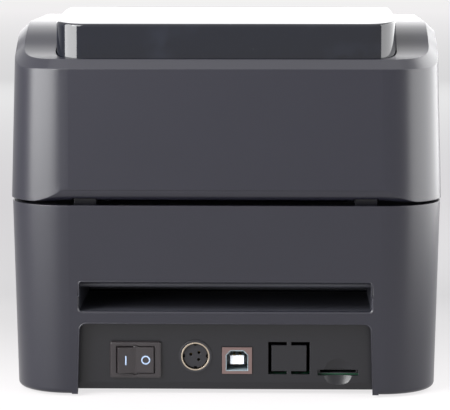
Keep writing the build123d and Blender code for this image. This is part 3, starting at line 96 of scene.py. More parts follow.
def tone_patches(tree, where, colour, patch_mm, spread):
    """A colour that drifts lighter and darker over patches of a real size."""
    scale = 1 / (patch_mm * MM)
    noise = add_node(tree, "ShaderNodeTexNoise", None, {"Vector": where, "Scale": scale, "Detail": 2.0})
    base = linear(colour)[:3]
    return add_node(
        tree, "ShaderNodeMix", {"data_type": "RGBA"},
        {
            0: noise.outputs["Fac"],
            6: [v * (1 - spread) for v in base] + [1.0],
            7: [v * (1 + spread) for v in base] + [1.0],
        },
    ).outputs[2]


def plastic(name, colour, roughness, grain=0.0, grain_mm=0.4, edge_mm=0.25):
    """Moulded plastic, rubber or paint: an even colour, the tool's fine grain, and soft edges.

    The real grain is too fine for the render. It is drawn 0.4 to 0.5 mm wide, so that it shows.
    """
    material, tree = new_material(name)
    where = add_node(tree, "ShaderNodeTexCoord").outputs["Object"]
    tone = tone_patches(tree, where, colour, patch_mm=14.0, spread=0.05)
    normal = add_node(tree, "ShaderNodeBevel", {"samples": 4}, {"Radius": edge_mm * MM}).outputs["Normal"]
    if grain:
        fine = add_node(
            tree, "ShaderNodeTexNoise", None,
            {"Vector": where, "Scale": 1 / (grain_mm * MM), "Detail": 3.0, "Roughness": 0.6},
        )
        normal = add_node(
            tree, "ShaderNodeBump", None,
            {"Height": fine.outputs["Fac"], "Normal": normal, "Strength": grain, "Distance": 0.04 * MM},
        ).outputs["Normal"]
    shader = add_node(
        tree, "ShaderNodeBsdfPrincipled", None,
        {"Base Color": tone, "Roughness": roughness, "IOR": 1.49, "Normal": normal},
    )
    return end_material(material, shader.outputs["BSDF"])


def metal(name, colour, roughness, streak=0.04):
    """Bare metal whose roughness runs in streaks along X, as rolled or drawn stock does."""
    streak_size_mm = (5.0, 0.3, 0.3)
    material, tree = new_material(name)
    where = add_node(tree, "ShaderNodeTexCoord").outputs["Object"]
    scale = [1 / (length * MM) for length in streak_size_mm]
    drawn = add_node(tree, "ShaderNodeMapping", None, {"Vector": where, "Scale": scale}).outputs["Vector"]
    noise = add_node(tree, "ShaderNodeTexNoise", None, {"Vector": drawn, "Scale": 1.0, "Detail": 2.0})
    spread = add_node(
        tree, "ShaderNodeMapRange", None,
        {"Value": noise.outputs["Fac"], "To Min": roughness - streak, "To Max": roughness + streak},
    )
    edge = add_node(tree, "ShaderNodeBevel", {"samples": 4}, {"Radius": 0.15 * MM}).outputs["Normal"]
    shader = add_node(
        tree, "ShaderNodeBsdfPrincipled", None,
        {
            "Base Color": linear(colour), "Metallic": 1.0,
            "Roughness": spread.outputs["Result"], "Normal": edge,
        },
    )
    return end_material(material, shader.outputs["BSDF"])


def gloss_hood():
    """High-gloss ABS: a mirror-like black with a bluish cast, faint wipe marks and a few dust specks."""
    wipe_mm = 16.0
    speck_pitch_mm = 6.0
    material, tree = new_material("high_gloss_abs")
    where = add_node(tree, "ShaderNodeTexCoord").outputs["Object"]
    wipe = add_node(
        tree, "ShaderNodeTexNoise", None, {"Vector": where, "Scale": 1 / (wipe_mm * MM), "Detail": 5.0},
    )
    haze = add_node(
        tree, "ShaderNodeMapRange", None,
        {"Value": wipe.outputs["Fac"], "From Min": 0.56, "From Max": 0.8, "To Min": 0.0, "To Max": 0.5},
    )
    cell = add_node(
        tree, "ShaderNodeTexVoronoi", None, {"Vector": where, "Scale": 1 / (speck_pitch_mm * MM)},
    )
    speck = add_node(
        tree, "ShaderNodeMapRange", None,
        {
            "Value": cell.outputs["Distance"], "From Min": 0.022, "From Max": 0.03,
            "To Min": 0.35, "To Max": 0.0,
        },
    )
    dusty = add_node(
        tree, "ShaderNodeMix", {"data_type": "RGBA"},
        {0: haze.outputs["Result"], 6: linear("#080b14"), 7: linear("#20242f")},
    )
    specked = add_node(
        tree, "ShaderNodeMix", {"data_type": "RGBA"},
        {0: speck.outputs["Result"], 6: dusty.outputs[2], 7: linear("#9aa0aa")},
    )
    edge = add_node(tree, "ShaderNodeBevel", {"samples": 6}, {"Radius": 0.5 * MM}).outputs["Normal"]
    shader = add_node(
        tree, "ShaderNodeBsdfPrincipled", None,
        {"Base Color": specked.outputs[2], "Roughness": 0.05, "IOR": 1.53, "Normal": edge},
    )
    return end_material(material, shader.outputs["BSDF"])


def smoked_acrylic():
    """Smoked acrylic: gloss on the outside, and dark enough that the roll bay only just shows."""
    material, tree = new_material("smoked_acrylic")
    clear = add_node(tree, "ShaderNodeBsdfTransparent", None, {"Color": linear("#4a4b52")})
    gloss = add_node(
        tree, "ShaderNodeBsdfPrincipled", None,
        {
            "Base Color": linear("#0a0c12"), "Roughness": 0.04, "IOR": 1.49,
            "Coat Weight": 1.0, "Coat Roughness": 0.03,
        },
    )
    both = add_node(
        tree, "ShaderNodeMixShader", None,
        {0: 0.65, 1: clear.outputs["BSDF"], 2: gloss.outputs["BSDF"]},
    )
    return end_material(material, both.outputs["Shader"])


def laminate():
    """Board laminate under green lacquer: darker lines between broad copper tracks, with a soft shine."""
    material, tree = new_material("green_laminate")
    where = add_node(tree, "ShaderNodeTexCoord").outputs["Object"]
    tracks = add_node(
        tree, "ShaderNodeTexBrick", {"offset": 0.5},
        {
            "Vector": where, "Scale": 1.0, "Brick Width": 9 * MM, "Row Height": 1.4 * MM,
            "Mortar Size": 0.35 * MM, "Color1": linear("#1c5b3c"), "Color2": linear("#236b47"),
            "Mortar": linear("#123f2a"),
        },
    )
    shader = add_node(
        tree, "ShaderNodeBsdfPrincipled", None,
        {"Base Color": tracks.outputs["Color"], "Roughness": 0.3, "IOR": 1.5},
    )
    return end_material(material, shader.outputs["BSDF"])


# Textured ABS: charcoal, with a broad sheen that gathers in bright bands on the rounds
shell = plastic("textured_abs", "#16161f", 0.31, grain=0.3, grain_mm=0.5, edge_mm=0.45)
# Satin ABS of the tray: a black plastic, drawn blacker than the shells as painted shade for the socket
# recess, with a weak even sheen
tray_plastic = plastic("satin_black_abs", "#07070d", 0.35, grain=0.12, edge_mm=0.4)
# Matt ABS of the inside: a dull dark grey that keeps the roll bay dim
bay_plastic = plastic("matt_grey_abs", "#303138", 0.45, grain=0.2)
# Textured nylon of the switch: a warm near-black with soft corners
switch_plastic = plastic("textured_nylon", "#231f21", 0.38, grain=0.3, edge_mm=0.5)
# Smooth nylon of the sockets: plain black, lost in their depth
socket_plastic = plastic("smooth_black_nylon", "#131318", 0.4)
# White nylon: the brightest spot of the data socket, with a cool cast
white_plastic = plastic("white_nylon", "#dfe4ea", 0.4)
# Grey nylon of the liner: its pale colour draws a thin line round the data socket's opening, partly a real
# liner and partly a painted highlight of the opening's lit edge
liner_plastic = plastic("grey_nylon", "#7d8a90", 0.4)
# Natural acetal: a milky off-white with a waxy sheen
acetal = plastic("natural_acetal", "#d9d6cc", 0.4)
# Moulded rubber: near-black with hardly any shine
foot_rubber = plastic("moulded_rubber", "#17171a", 0.75, grain=0.3)
# Ground rubber of the platen: an even dull grey
roller_rubber = plastic("ground_rubber", "#2b2b2f", 0.6, grain=0.2)
# Satin ABS of the button: a mid grey that stands out from the shell
button_plastic = plastic("satin_grey_abs", "#8b8f96", 0.35)
# Acrylic lenses: a pale grey-green with a sharp glint, drawn without their clearness
lamp_plastic = plastic("polished_acrylic", "#b9c4bb", 0.15)
# Moulded epoxy of the chips: flat black
epoxy = plastic("moulded_epoxy", "#1b1b1d", 0.5)
# Vinyl sleeves of the capacitors: a very dark blue with a soft shine
sleeve = plastic("vinyl_sleeve", "#1d2433", 0.3)
# Pad-printed paint: flat pale blue marks
mark_paint = plastic("pad_printed_paint", "#9db1cf", 0.4)
# Zinc-plated steel: a cool grey whose reflections blur along the sheet
steel = metal("zinc_plated_steel", "#a9abad", 0.32, 0.06)
# Drawn spring wire: a darker grey with a narrow glint
spring_steel = metal("spring_steel", "#8f9296", 0.3)
# Tinned brass of the data socket: dull, with the brass warming its reflections
tin = metal("tinned_brass", "#826f6c", 0.32, 0.05)
# Nickel plate: a warm silver that makes the power socket's ring stand out
nickel = metal("nickel_plate", "#b3a797", 0.25)
# Gold flash: small yellow glints on the contacts
gold = metal("gold_flash", "#b79a55", 0.28)
# Extruded aluminium: a light grey with streaks along the print head
alloy = metal("extruded_aluminium", "#b4b6b9", 0.38, 0.08)
# Turned brass: a soft yellow shine on the motor's pinion
brass = metal("turned_brass", "#b6985a", 0.3)
# Blackened steel of the motor: dark, with weak blurred reflections
motor_steel = metal("blackened_steel", "#3a3b3e", 0.4)

finishes = {
    shell: ["base_shell", "lid_shell"],
    gloss_hood(): ["hood"],
    smoked_acrylic(): ["hood_window"],
    tray_plastic: ["bottom_tray", "latch_tab_right", "latch_tab_left"],
    bay_plastic: ["media_bay", "rack_cover", "roll_guide_right", "roll_guide_left"],
    foot_rubber: ["rubber_feet"],
    roller_rubber: ["platen_rubber"],
    switch_plastic: ["switch_housing", "power_rocker"],
    socket_plastic: ["power_socket_body", "card_socket"],
    nickel: ["power_socket_shell"],
    tin: ["data_socket_shell"],
    white_plastic: ["data_socket_tongue"],
    laminate(): ["main_board", "control_board"],
    steel: [
        "tray_screws", "platen_shaft", "gear_bracket", "motor_shaft", "head_beam", "tear_bar", "hinge_pins",
    ],
    acetal: [
        "platen_bushes", "platen_gear", "idler_gear", "roll_hub_right", "roll_hub_left", "guide_pinion",
    ],
    brass: ["motor_pinion"],
    motor_steel: ["stepper_motor"],
    alloy: ["print_head"],
    button_plastic: ["feed_button"],
    lamp_plastic: ["status_lamps"],
}
for finish, names in finishes.items():
    for name in names:
        nodes[name].data.materials.clear()
        nodes[name].data.materials.append(finish)


# Mesh helpers
def mesh_from(name, bm):
    """The mesh of a finished bmesh, with its faces outward."""
    bmesh.ops.recalc_face_normals(bm, faces=bm.faces)
    mesh = bpy.data.meshes.new(name)
    bm.to_mesh(mesh)
    bm.free()
    return mesh


def scene_object(name, data):
    """An object at the origin for a mesh or a curve."""
    obj = bpy.data.objects.new(name, data)
    bpy.context.scene.collection.objects.link(obj)
    return obj


def piece(name, mesh, finish, body):
    """A finished mesh as a piece that rides on a body. Without a finish it keeps the one it has."""
    obj = scene_object(name, mesh)
    if finish is not None:
        mesh.materials.clear()
        mesh.materials.append(finish)
    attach(obj, body)
    return obj


def add_wall(bm, low, high):
    """Join two rings of points by a band of faces."""
    for i in range(len(low)):
        j = (i + 1) % len(low)
        bm.faces.new([low[i], low[j], high[j], high[i]])


def add_slab(bm, low, high, edge=0.15):
    """Add a block between two corners, with its edges broken."""
    middle = (Vector(low) + Vector(high)) / 2
    size = Vector(high) - Vector(low)
    at = Matrix.Translation(middle * MM) @ Matrix.Diagonal((*(size * MM), 1))
    made = bmesh.ops.create_cube(bm, size=1, matrix=at)["verts"]
    edges = list({e for v in made for e in v.link_edges})
    bmesh.ops.bevel(bm, geom=edges, offset=edge * MM, segments=2, affect="EDGES", profile=0.5)


def add_lathe(bm, profile, at, along, steps=24):
    """Add a solid turned from (radius, distance) points about an axis."""
    turn = Vector(along).to_track_quat("Z", "Y").to_matrix()
    rings = []
    for radius, reach in profile:
        ring = []
        for i in range(steps):
            angle = 2 * math.pi * i / steps
            spot = Vector((radius * math.cos(angle), radius * math.sin(angle), reach))
            ring.append(bm.verts.new((Vector(at) + turn @ spot) * MM))
        rings.append(ring)
    for low, high in zip(rings, rings[1:]):
        add_wall(bm, low, high)
    bm.faces.new(rings[0])
    bm.faces.new(rings[-1])


def slab_mesh(name, low, high, edge=0.15):
    """One block with broken edges."""
    bm = bmesh.new()
    add_slab(bm, low, high, edge)
    return mesh_from(name, bm)


def lathe_mesh(name, profile, at=(0, 0, 0), steps=24):
    """One upright turned solid."""
    bm = bmesh.new()
    add_lathe(bm, profile, at, (0, 0, 1), steps)
    return mesh_from(name, bm)


def baked(obj, name):
    """The plain mesh that an object's modifiers make. The object is removed."""
    bpy.context.view_layer.update()
    graph = bpy.context.evaluated_depsgraph_get()
    mesh = bpy.data.meshes.new_from_object(obj.evaluated_get(graph), depsgraph=graph)
    mesh.name = name
    bpy.data.objects.remove(obj)
    return mesh


# Geometry Nodes trees for what repeats
def new_tree(name, sockets):
    """An empty geometry tree with its named inputs, and the outputs of its input node."""
    tree = bpy.data.node_groups.new(name, "GeometryNodeTree")
    tree.interface.new_socket("Geometry", in_out="INPUT", socket_type="NodeSocketGeometry")
    for label, kind in sockets:
        tree.interface.new_socket(label, in_out="INPUT", socket_type=kind)
    tree.interface.new_socket("Geometry", in_out="OUTPUT", socket_type="NodeSocketGeometry")
    return tree, add_node(tree, "NodeGroupInput").outputs


def end_tree(tree, shapes, finish):
    """End a tree: make its copies real, give them their finish, and hand the tree back."""
    real = add_node(tree, "GeometryNodeRealizeInstances", None, {"Geometry": shapes})
    made = add_node(
        tree, "GeometryNodeSetMaterial", None, {"Geometry": real.outputs["Geometry"], "Material": finish},
    )
    add_node(tree, "NodeGroupOutput", None, {"Geometry": made.outputs["Geometry"]})
    return tree


def run_tree(tree, mesh, name, values):
    """Run a tree on a mesh with its inputs set by identifier, and bake the result."""
    obj = scene_object(name, mesh)
    modifier = obj.modifiers.new("repeat", "NODES")
    modifier.node_group = tree
    for item in tree.interface.items_tree:
        if item.in_out == "INPUT" and item.name in values:
            modifier[item.identifier] = values[item.name]
    return baked(obj, name)


def copies_at_points():
    """A tree that puts a copy of a template object at each point of a mesh."""
    tree, given = new_tree(
        "copies_at_points",
        [("Template", "NodeSocketObject"), ("Turn", "NodeSocketVector"), ("Finish", "NodeSocketMaterial")],
    )
    spots = add_node(tree, "GeometryNodeMeshToPoints", None, {"Mesh": given["Geometry"]})
    shape = add_node(tree, "GeometryNodeObjectInfo", None, {"Object": given["Template"]})
    copied = add_node(
        tree, "GeometryNodeInstanceOnPoints", None,
        {
            "Points": spots.outputs["Points"], "Instance": shape.outputs["Geometry"],
            "Rotation": given["Turn"],
        },
    )
    return end_tree(tree, copied.outputs["Instances"], given["Finish"])


def row_of_ribs():
    """A tree that lays round bars side by side at an even pitch."""
    tree, given = new_tree(
        "row_of_ribs",
        [
            ("Count", "NodeSocketInt"), ("Pitch", "NodeSocketVector"), ("Start", "NodeSocketVector"),
            ("Length", "NodeSocketVector"), ("Radius", "NodeSocketFloat"), ("Finish", "NodeSocketMaterial"),
        ],
    )
    row = add_node(
        tree, "GeometryNodeMeshLine", None,
        {"Count": given["Count"], "Start Location": given["Start"], "Offset": given["Pitch"]},
    )
    line = add_node(tree, "GeometryNodeCurvePrimitiveLine", None, {"End": given["Length"]})
    section = add_node(
        tree, "GeometryNodeCurvePrimitiveCircle", None, {"Resolution": 16, "Radius": given["Radius"]},
    )
    bar = add_node(
        tree, "GeometryNodeCurveToMesh", None,
        {"Curve": line.outputs["Curve"], "Profile Curve": section.outputs["Curve"], "Fill Caps": True},
    )
    laid = add_node(
        tree, "GeometryNodeInstanceOnPoints", None,
        {"Points": row.outputs["Mesh"], "Instance": bar.outputs["Mesh"]},
    )
    return end_tree(tree, laid.outputs["Instances"], given["Finish"])


def rounds_on_sharp_edges():
    """A tree that lays a thin round along a mesh's sharp edges, between limits of depth and height."""
    tree, given = new_tree(
        "rounds_on_sharp_edges",
        [
            ("Least Angle", "NodeSocketFloat"), ("Least Y", "NodeSocketFloat"),
            ("Least Z", "NodeSocketFloat"), ("Most Z", "NodeSocketFloat"), ("Radius", "NodeSocketFloat"),
            ("Shift", "NodeSocketVector"), ("Finish", "NodeSocketMaterial"),
        ],
    )
    joined = add_node(
        tree, "GeometryNodeMergeByDistance", None, {"Geometry": given["Geometry"], "Distance": 0.001 * MM},
    )
    angle = add_node(tree, "GeometryNodeInputMeshEdgeAngle").outputs["Unsigned Angle"]
    position = add_node(tree, "GeometryNodeInputPosition").outputs["Position"]
    spot = add_node(tree, "ShaderNodeSeparateXYZ", None, {"Vector": position}).outputs
    chosen = None
    for value, limit in (
        (angle, given["Least Angle"]), (spot["Y"], given["Least Y"]),
        (spot["Z"], given["Least Z"]), (given["Most Z"], spot["Z"]),
    ):
        above = add_node(tree, "FunctionNodeCompare", {"operation": "GREATER_THAN"}, {0: value, 1: limit})
        if chosen is None:
            chosen = above
        else:
            inputs = {0: chosen.outputs[0], 1: above.outputs[0]}
            chosen = add_node(tree, "FunctionNodeBooleanMath", {"operation": "AND"}, inputs)
    lines = add_node(
        tree, "GeometryNodeMeshToCurve", None,
        {"Mesh": joined.outputs["Geometry"], "Selection": chosen.outputs[0]},
    )
    moved = add_node(
        tree, "GeometryNodeSetPosition", None,
        {"Geometry": lines.outputs["Curve"], "Offset": given["Shift"]},
    )
    section = add_node(
        tree, "GeometryNodeCurvePrimitiveCircle", None, {"Resolution": 10, "Radius": given["Radius"]},
    )
    bead = add_node(
        tree, "GeometryNodeCurveToMesh", None,
        {"Curve": moved.outputs["Geometry"], "Profile Curve": section.outputs["Curve"], "Fill Caps": True},
    )
    return end_tree(tree, bead.outputs["Mesh"], given["Finish"])


copies_tree = copies_at_points()


def copies(name, template, places, finish, body, turn=(0.0, 0.0, 0.0)):
    """Copies of a template mesh at a list of places, as one piece."""
    holder = bpy.data.meshes.new(name)
    holder.from_pydata([Vector(spot) * MM for spot in places], [], [])
    pattern = scene_object(name + "_template", template)
    made = run_tree(copies_tree, holder, name, {"Template": pattern, "Turn": turn, "Finish": finish})
    bpy.data.objects.remove(pattern)
    return piece(name, made, None, body)


# Switch marks: a bar and a ring, pad-printed on the two halves of the rocker's face.
# The axle, the tilt at rest and the face are the CAD's: both halves rise by 2.2 mm over 15.2 mm.
rocker_axle = Vector((36.6, 101.1, 14.4))
rocker_turn = math.radians(8)
rocker_slope = math.atan2(2.2, 15.2)
rocker_middle_rise = 1.5
bar_from_middle = 4.2
ring_from_middle = 4.0
mark_thickness = 0.04
bar_half_width = 0.27
bar_half_height = 1.85
ring_outer = 1.85
ring_inner = 1.3
ring_steps = 40


def ring_spot(radius, step):
    """A point on a circle of the ring."""
    angle = 2 * math.pi * step / ring_steps
    return (radius * math.cos(angle), radius * math.sin(angle))


def rocker_mark(name, outlines, side, reach):
    """A flat printed mark on one half of the rocker. side is +1 for the raised half."""
    angle = rocker_turn + side * rocker_slope
    along = Vector((math.cos(angle), math.sin(angle), 0))
    outward = Vector((-math.sin(angle), math.cos(angle), 0))
    middle = rocker_axle + Vector((-math.sin(rocker_turn), math.cos(rocker_turn), 0)) * rocker_middle_rise
    middle = middle + along * side * reach
    bm = bmesh.new()
    for outline in outlines:
        low = [bm.verts.new((middle - along * x + Vector((0, 0, z))) * MM) for x, z in outline]
        high = [bm.verts.new(v.co + outward * mark_thickness * MM) for v in low]
        bm.faces.new(low)
        bm.faces.new(high)
        add_wall(bm, low, high)
    bmesh.ops.remove_doubles(bm, verts=bm.verts, dist=0.001 * MM)
    return piece(name, mesh_from(name, bm), mark_paint, "rocker")


bar_outline = [
    (-bar_half_width, -bar_half_height), (bar_half_width, -bar_half_height),
    (bar_half_width, bar_half_height), (-bar_half_width, bar_half_height),
]
ring_outlines = [
    [
        ring_spot(ring_inner, i), ring_spot(ring_outer, i),
        ring_spot(ring_outer, i + 1), ring_spot(ring_inner, i + 1),
    ]
    for i in range(ring_steps)
]
rocker_mark("switch_mark_on", [bar_outline], 1, bar_from_middle)
rocker_mark("switch_mark_off", ring_outlines, -1, ring_from_middle)

# Rounds along the sharp rear edges of the slot and the recess, which catch a thin line of light
rear_edges = run_tree(
    rounds_on_sharp_edges(), nodes["base_shell"].data.copy(), "rear_edge_rounds",
    {
        "Least Angle": 0.9, "Least Y": 105.9 * MM, "Least Z": 3.0 * MM, "Most Z": 60.0 * MM,
        "Radius": 0.32 * MM, "Shift": place(0, -0.2, 0), "Finish": shell,
    },
)
piece("rear_edge_rounds", rear_edges, None, "base")

# Power socket: three turned contacts with blind bores, in the insert's holes
socket_low, socket_high = span("power_socket_shell")
socket_middle = (socket_low + socket_high) / 2
contact_ring = 2.0
contact_turns = (18, 136, 228)
contact_face_y = 95.5
contact_profile = [(0.3, -4.0), (0.56, -4.0), (0.56, -0.1), (0.46, 0.0), (0.3, 0.0), (0.3, -3.6)]
bm = bmesh.new()
for turn in contact_turns:
    angle = math.radians(turn)
    x = socket_middle.x + contact_ring * math.cos(angle)
    z = socket_middle.z + contact_ring * math.sin(angle)
    add_lathe(bm, contact_profile, (x, contact_face_y, z), (0, 1, 0), 20)
bmesh.ops.remove_doubles(bm, verts=bm.verts, dist=0.001 * MM)
piece("power_socket_contacts", mesh_from("power_socket_contacts", bm), gold, "base")

# Data socket: four spring contacts, two above the tongue and two below
tongue_low, tongue_high = span("data_socket_tongue")
tongue_middle = (tongue_low + tongue_high) / 2
tongue_half_height = 1.8
leaf_pitch = 1.25
leaf_half_width = 0.5
leaf_thickness = 0.25
leaf_length = 10.0
leaf_setback = 0.4
leaf = slab_mesh(
    "contact_leaf", (-leaf_half_width, -leaf_length, 0), (leaf_half_width, 0, leaf_thickness), 0.08,
)
leaf_places = [
    (tongue_middle.x + side * leaf_pitch, tongue_high.y - leaf_setback, tongue_middle.z + height)
    for side in (-1, 1)
    for height in (tongue_half_height, -tongue_half_height - leaf_thickness)
]
copies("data_socket_contacts", leaf, leaf_places, gold, "base")

# Its moulded liner, a tube with two cut corners that shows inside the metal shell's opening. Its pale rim
# is partly a painted highlight
port_half_width = 4.6
port_half_height = 4.3
port_chamfer = 1.9
liner_fit = 0.03
liner_wall = 0.3
liner_front_y = 100.9
liner_back_y = 87.0


def port_ring(bm, inset, y):
    """The opening's six corners as points at a depth, taken in by an even wall."""
    x = port_half_width - inset
    z = port_half_height - inset
    cut = port_chamfer - inset * (2 - math.sqrt(2))
    outline = [(-x, -z), (x, -z), (x, z - cut), (x - cut, z), (cut - x, z), (-x, z - cut)]
    return [bm.verts.new(place(tongue_middle.x + u, y, tongue_middle.z + v)) for u, v in outline]


bm = bmesh.new()
rings = [
    port_ring(bm, liner_fit, liner_back_y),
    port_ring(bm, liner_fit, liner_front_y),
    port_ring(bm, liner_fit + liner_wall, liner_front_y),
    port_ring(bm, liner_fit + liner_wall, liner_back_y),
]
for here, there in zip(rings, rings[1:] + rings[:1]):
    add_wall(bm, here, there)
piece("data_socket_liner", mesh_from("data_socket_liner", bm), liner_plastic, "base")

# Main board: moulded chips with bent legs on two or four sides
board_low, board_high = span("main_board")
board_top = board_high.z
chip_stand = 0.1
leg_pitch = 0.8
leg_reach = 0.5
leg_half_length = 0.8
leg_half_width = 0.15
leg_thickness = 0.3
leg_margin = 1.5


def chip(name, at, size, four_sided=False):
    """A moulded chip and its bent legs, on the board's top. size is its width, depth and height."""
    width, depth, height = size
    middle = Vector((*at, board_top))
    half = Vector((width / 2, depth / 2, 0))
    low = middle - half + Vector((0, 0, chip_stand))
    high = middle + half + Vector((0, 0, height))
    piece(name, slab_mesh(name, low, high, 0.2), epoxy, "base")
    count = int((depth - leg_margin) / leg_pitch)
    steps = [(i - (count - 1) / 2) * leg_pitch for i in range(count)]
    right = Vector((1, 0, 0))
    back = Vector((0, 1, 0))
    rows = [("_legs", right, back)]
    if four_sided:
        rows.append(("_end_legs", back, right))
    for suffix, out, along in rows:
        corner = out * leg_half_length + along * leg_half_width
        leg = slab_mesh(name + "_leg", -corner, corner + Vector((0, 0, leg_thickness)), 0.05)
        reach = half.dot(out) + leg_reach
        places = [middle + out * side * reach + along * step for side in (-1, 1) for step in steps]
        copies(name + suffix, leg, places, tin, "base")


chip("processor", (0.0, 52.0), (14.0, 14.0, 1.5), four_sided=True)
chip("memory", (-28.0, 52.0), (10.0, 18.0, 1.2))
chip("motor_driver", (44.0, 26.0), (8.0, 10.0, 1.6))

# Electrolytic capacitors: a sleeved can with a pressed groove near its foot
can_profile = [
    (3.9, 0.0), (4.0, 0.6), (4.0, 1.6), (3.75, 2.0), (4.0, 2.4), (4.0, 9.6), (3.7, 10.0), (3.0, 9.9),
]
can_places = [(x, y, board_top) for x, y in ((14.0, 76.0), (4.5, 76.0), (-6.0, 74.0), (56.0, 48.0))]
copies("capacitors", lathe_mesh("capacitor", can_profile), can_places, sleeve, "base")

# White wafer headers for the head, the motor and the control board, with a pin for each wire
headers = [((18.0, 4.0), 13), ((48.0, 8.0), 5), ((-20.0, 4.0), 6.5)]
wafer_half_depth = 2.8
wafer_floor = 1.2
wafer_wall = 0.8
wafer_height = 6.0
pin_pitch = 2.0
pin_half_width = 0.25
pin_height = 4.2
pin_foot = 1.0
bm = bmesh.new()
pin_places = []
for (x, y), half_width in headers:
    front = y - wafer_half_depth
    low = Vector((x - half_width, front, board_top))
    add_slab(bm, low, (x + half_width, y + wafer_half_depth, board_top + wafer_floor), 0.2)
    low.z += pin_foot
    add_slab(bm, low, (x + half_width, front + wafer_wall, board_top + wafer_height), 0.2)
    count = int(half_width)
    first = x - (count - 1) / 2 * pin_pitch
    pin_places += [(first + i * pin_pitch, y, board_top + pin_foot) for i in range(count)]
piece("wafer_headers", mesh_from("wafer_headers", bm), white_plastic, "base")
pin = slab_mesh(
    "header_pin", (-pin_half_width, -pin_half_width, 0), (pin_half_width, pin_half_width, pin_height), 0.08,
)
copies("header_pins", pin, pin_places, tin, "base")

# Small resistors and capacitors in columns on both sides of the processor
small_columns = (-14.0, -11.5, 11.5, 14.0)
small_rows = (44.0, 46.0, 48.0, 54.0, 56.0, 58.0)
small_part = slab_mesh("small_part", (-0.8, -0.4, 0), (0.8, 0.4, 0.45), 0.06)
small_places = [(x, y, board_top) for x in small_columns for y in small_rows]
copies("small_parts", small_part, small_places, epoxy, "base")

# The crystal's can with its rounded ends, and a choke wound between two flanges
crystal_height = 3.4
crystal = slab_mesh("crystal", (-12.0, 30.0, board_top), (-1.0, 34.6, board_top + crystal_height), 1.0)
piece("crystal", crystal, nickel, "base")
choke_profile = [(5.0, 0.0), (5.0, 0.8), (3.6, 1.0), (3.6, 3.4), (5.0, 3.6), (5.0, 4.4), (4.6, 4.6)]
choke = lathe_mesh("choke", choke_profile, (20.0, 62.0, board_top))
piece("choke", choke, motor_steel, "base")


# Pan-head screws with a cross recess, on the beam in the lid, the motor and the board
def screw_template(radius, height):
    """A pan head standing on the XY plane, with its cross recess cut in."""
    dome = [
        (radius, 0.0), (radius, height * 0.45), (radius * 0.85, height * 0.85), (radius * 0.45, height),
    ]
    head = scene_object("screw_head", lathe_mesh("screw_head", dome, steps=32))
    bm = bmesh.new()
    arm = radius * 0.55
    half = radius * 0.13
    add_slab(bm, (-arm, -half, height * 0.45), (arm, half, height * 1.5), 0.02)
    add_slab(bm, (-half, -arm, height * 0.4), (half, arm, height * 1.6), 0.02)
    cross = scene_object("screw_cross", mesh_from("screw_cross", bm))
    cut = head.modifiers.new("cross", "BOOLEAN")
    cut.operation = "DIFFERENCE"
    cut.solver = "EXACT"
    cut.use_self = True
    cut.object = cross
    made = baked(head, "screw_head")
    bpy.data.objects.remove(cross)
    return made


def inner_corners(low, high, in_x, in_y, z):
    """Four places at a height, set in from the corners of a span."""
    return [(x, y, z) for x in (low.x + in_x, high.x - in_x) for y in (low.y + in_y, high.y - in_y)]


beam_low, beam_high = span("head_beam")
beam_rim = 7.0
beam_face = beam_low.z + beam_rim
beam_hole_x = 9.0
beam_hole_y = 5.0
beam_places = inner_corners(beam_low, beam_high, beam_hole_x, beam_hole_y, beam_face)
face_down = (math.pi, 0.0, 0.0)
copies("beam_screws", screw_template(2.7, 1.7), beam_places, steel, "lid", face_down)

motor_low, motor_high = span("stepper_motor")
motor_middle = (motor_low + motor_high) / 2
motor_hole = 13.0
motor_places = [
    (motor_high.x, motor_middle.y + offset, motor_middle.z + offset) for offset in (-motor_hole, motor_hole)
]
face_right = (0.0, math.pi / 2, 0.0)
copies("motor_screws", screw_template(2.6, 1.6), motor_places, steel, "base", face_right)

board_hole = 6.0
board_places = inner_corners(board_low, board_high, board_hole, board_hole, board_top)
copies("board_screws", screw_template(2.7, 1.6), board_places, steel, "base")

# Coil springs on the head's two studs, from the head up to the beam
head_low, head_high = span("print_head")
stud_x = 42.0
stud_y = -92.0
coil_radius = 2.9
wire_radius = 0.28
coil_gap = 0.05
coil_turns = 2.5
coil_steps = 24
coil_points = int(coil_turns * coil_steps) + 1
coil_foot = head_high.z + wire_radius + coil_gap
coil_top = beam_face - wire_radius - coil_gap
coil_curve = bpy.data.curves.new("head_springs", "CURVE")
coil_curve.dimensions = "3D"
coil_curve.bevel_depth = wire_radius * MM
coil_curve.bevel_resolution = 2
coil_curve.use_fill_caps = True
for side in (-1, 1):
    spline = coil_curve.splines.new("POLY")
    spline.points.add(coil_points - 1)
    for i in range(coil_points):
        angle = 2 * math.pi * i / coil_steps
        x = side * stud_x + coil_radius * math.cos(angle)
        y = stud_y + coil_radius * math.sin(angle)
        z = coil_foot + (coil_top - coil_foot) * i / (coil_points - 1)
        spline.points[i].co = (*place(x, y, z), 1.0)
coil_mesh = baked(scene_object("head_springs", coil_curve), "head_springs")
head_springs = piece("head_springs", coil_mesh, spring_steel, "lid")
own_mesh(head_springs)

# Low ribs that the label slides on, and the gap sensor between them with its two lenses
deck_top = 76.5
rib_radius = 0.9
rib_show = 0.6
rib_count = 10
rib_pitch = 10.0
rib_start_y = -79.0
rib_length = 38.0
rib_start = place(-rib_pitch * (rib_count - 1) / 2, rib_start_y, deck_top + rib_show - rib_radius)
ribs = run_tree(
    row_of_ribs(), bpy.data.meshes.new("label_ribs"), "label_ribs",
    {
        "Count": rib_count, "Pitch": place(rib_pitch, 0, 0), "Length": place(0, rib_length, 0),
        "Start": rib_start, "Radius": rib_radius * MM, "Finish": bay_plastic,
    },
)
piece("label_ribs", ribs, None, "base")
sensor_half_width = 3.5
sensor_show = 0.5
sensor = slab_mesh(
    "gap_sensor", (-sensor_half_width, -68.0, deck_top - sensor_show),
    (sensor_half_width, -56.0, deck_top + sensor_show), 0.3,
)
piece("gap_sensor", sensor, socket_plastic, "base")
lens_rows = (-65.0, -59.0)
lens_sink = 0.1
lens_profile = [(1.3, 0.0), (1.3, 0.3), (1.0, 0.42), (0.5, 0.48)]
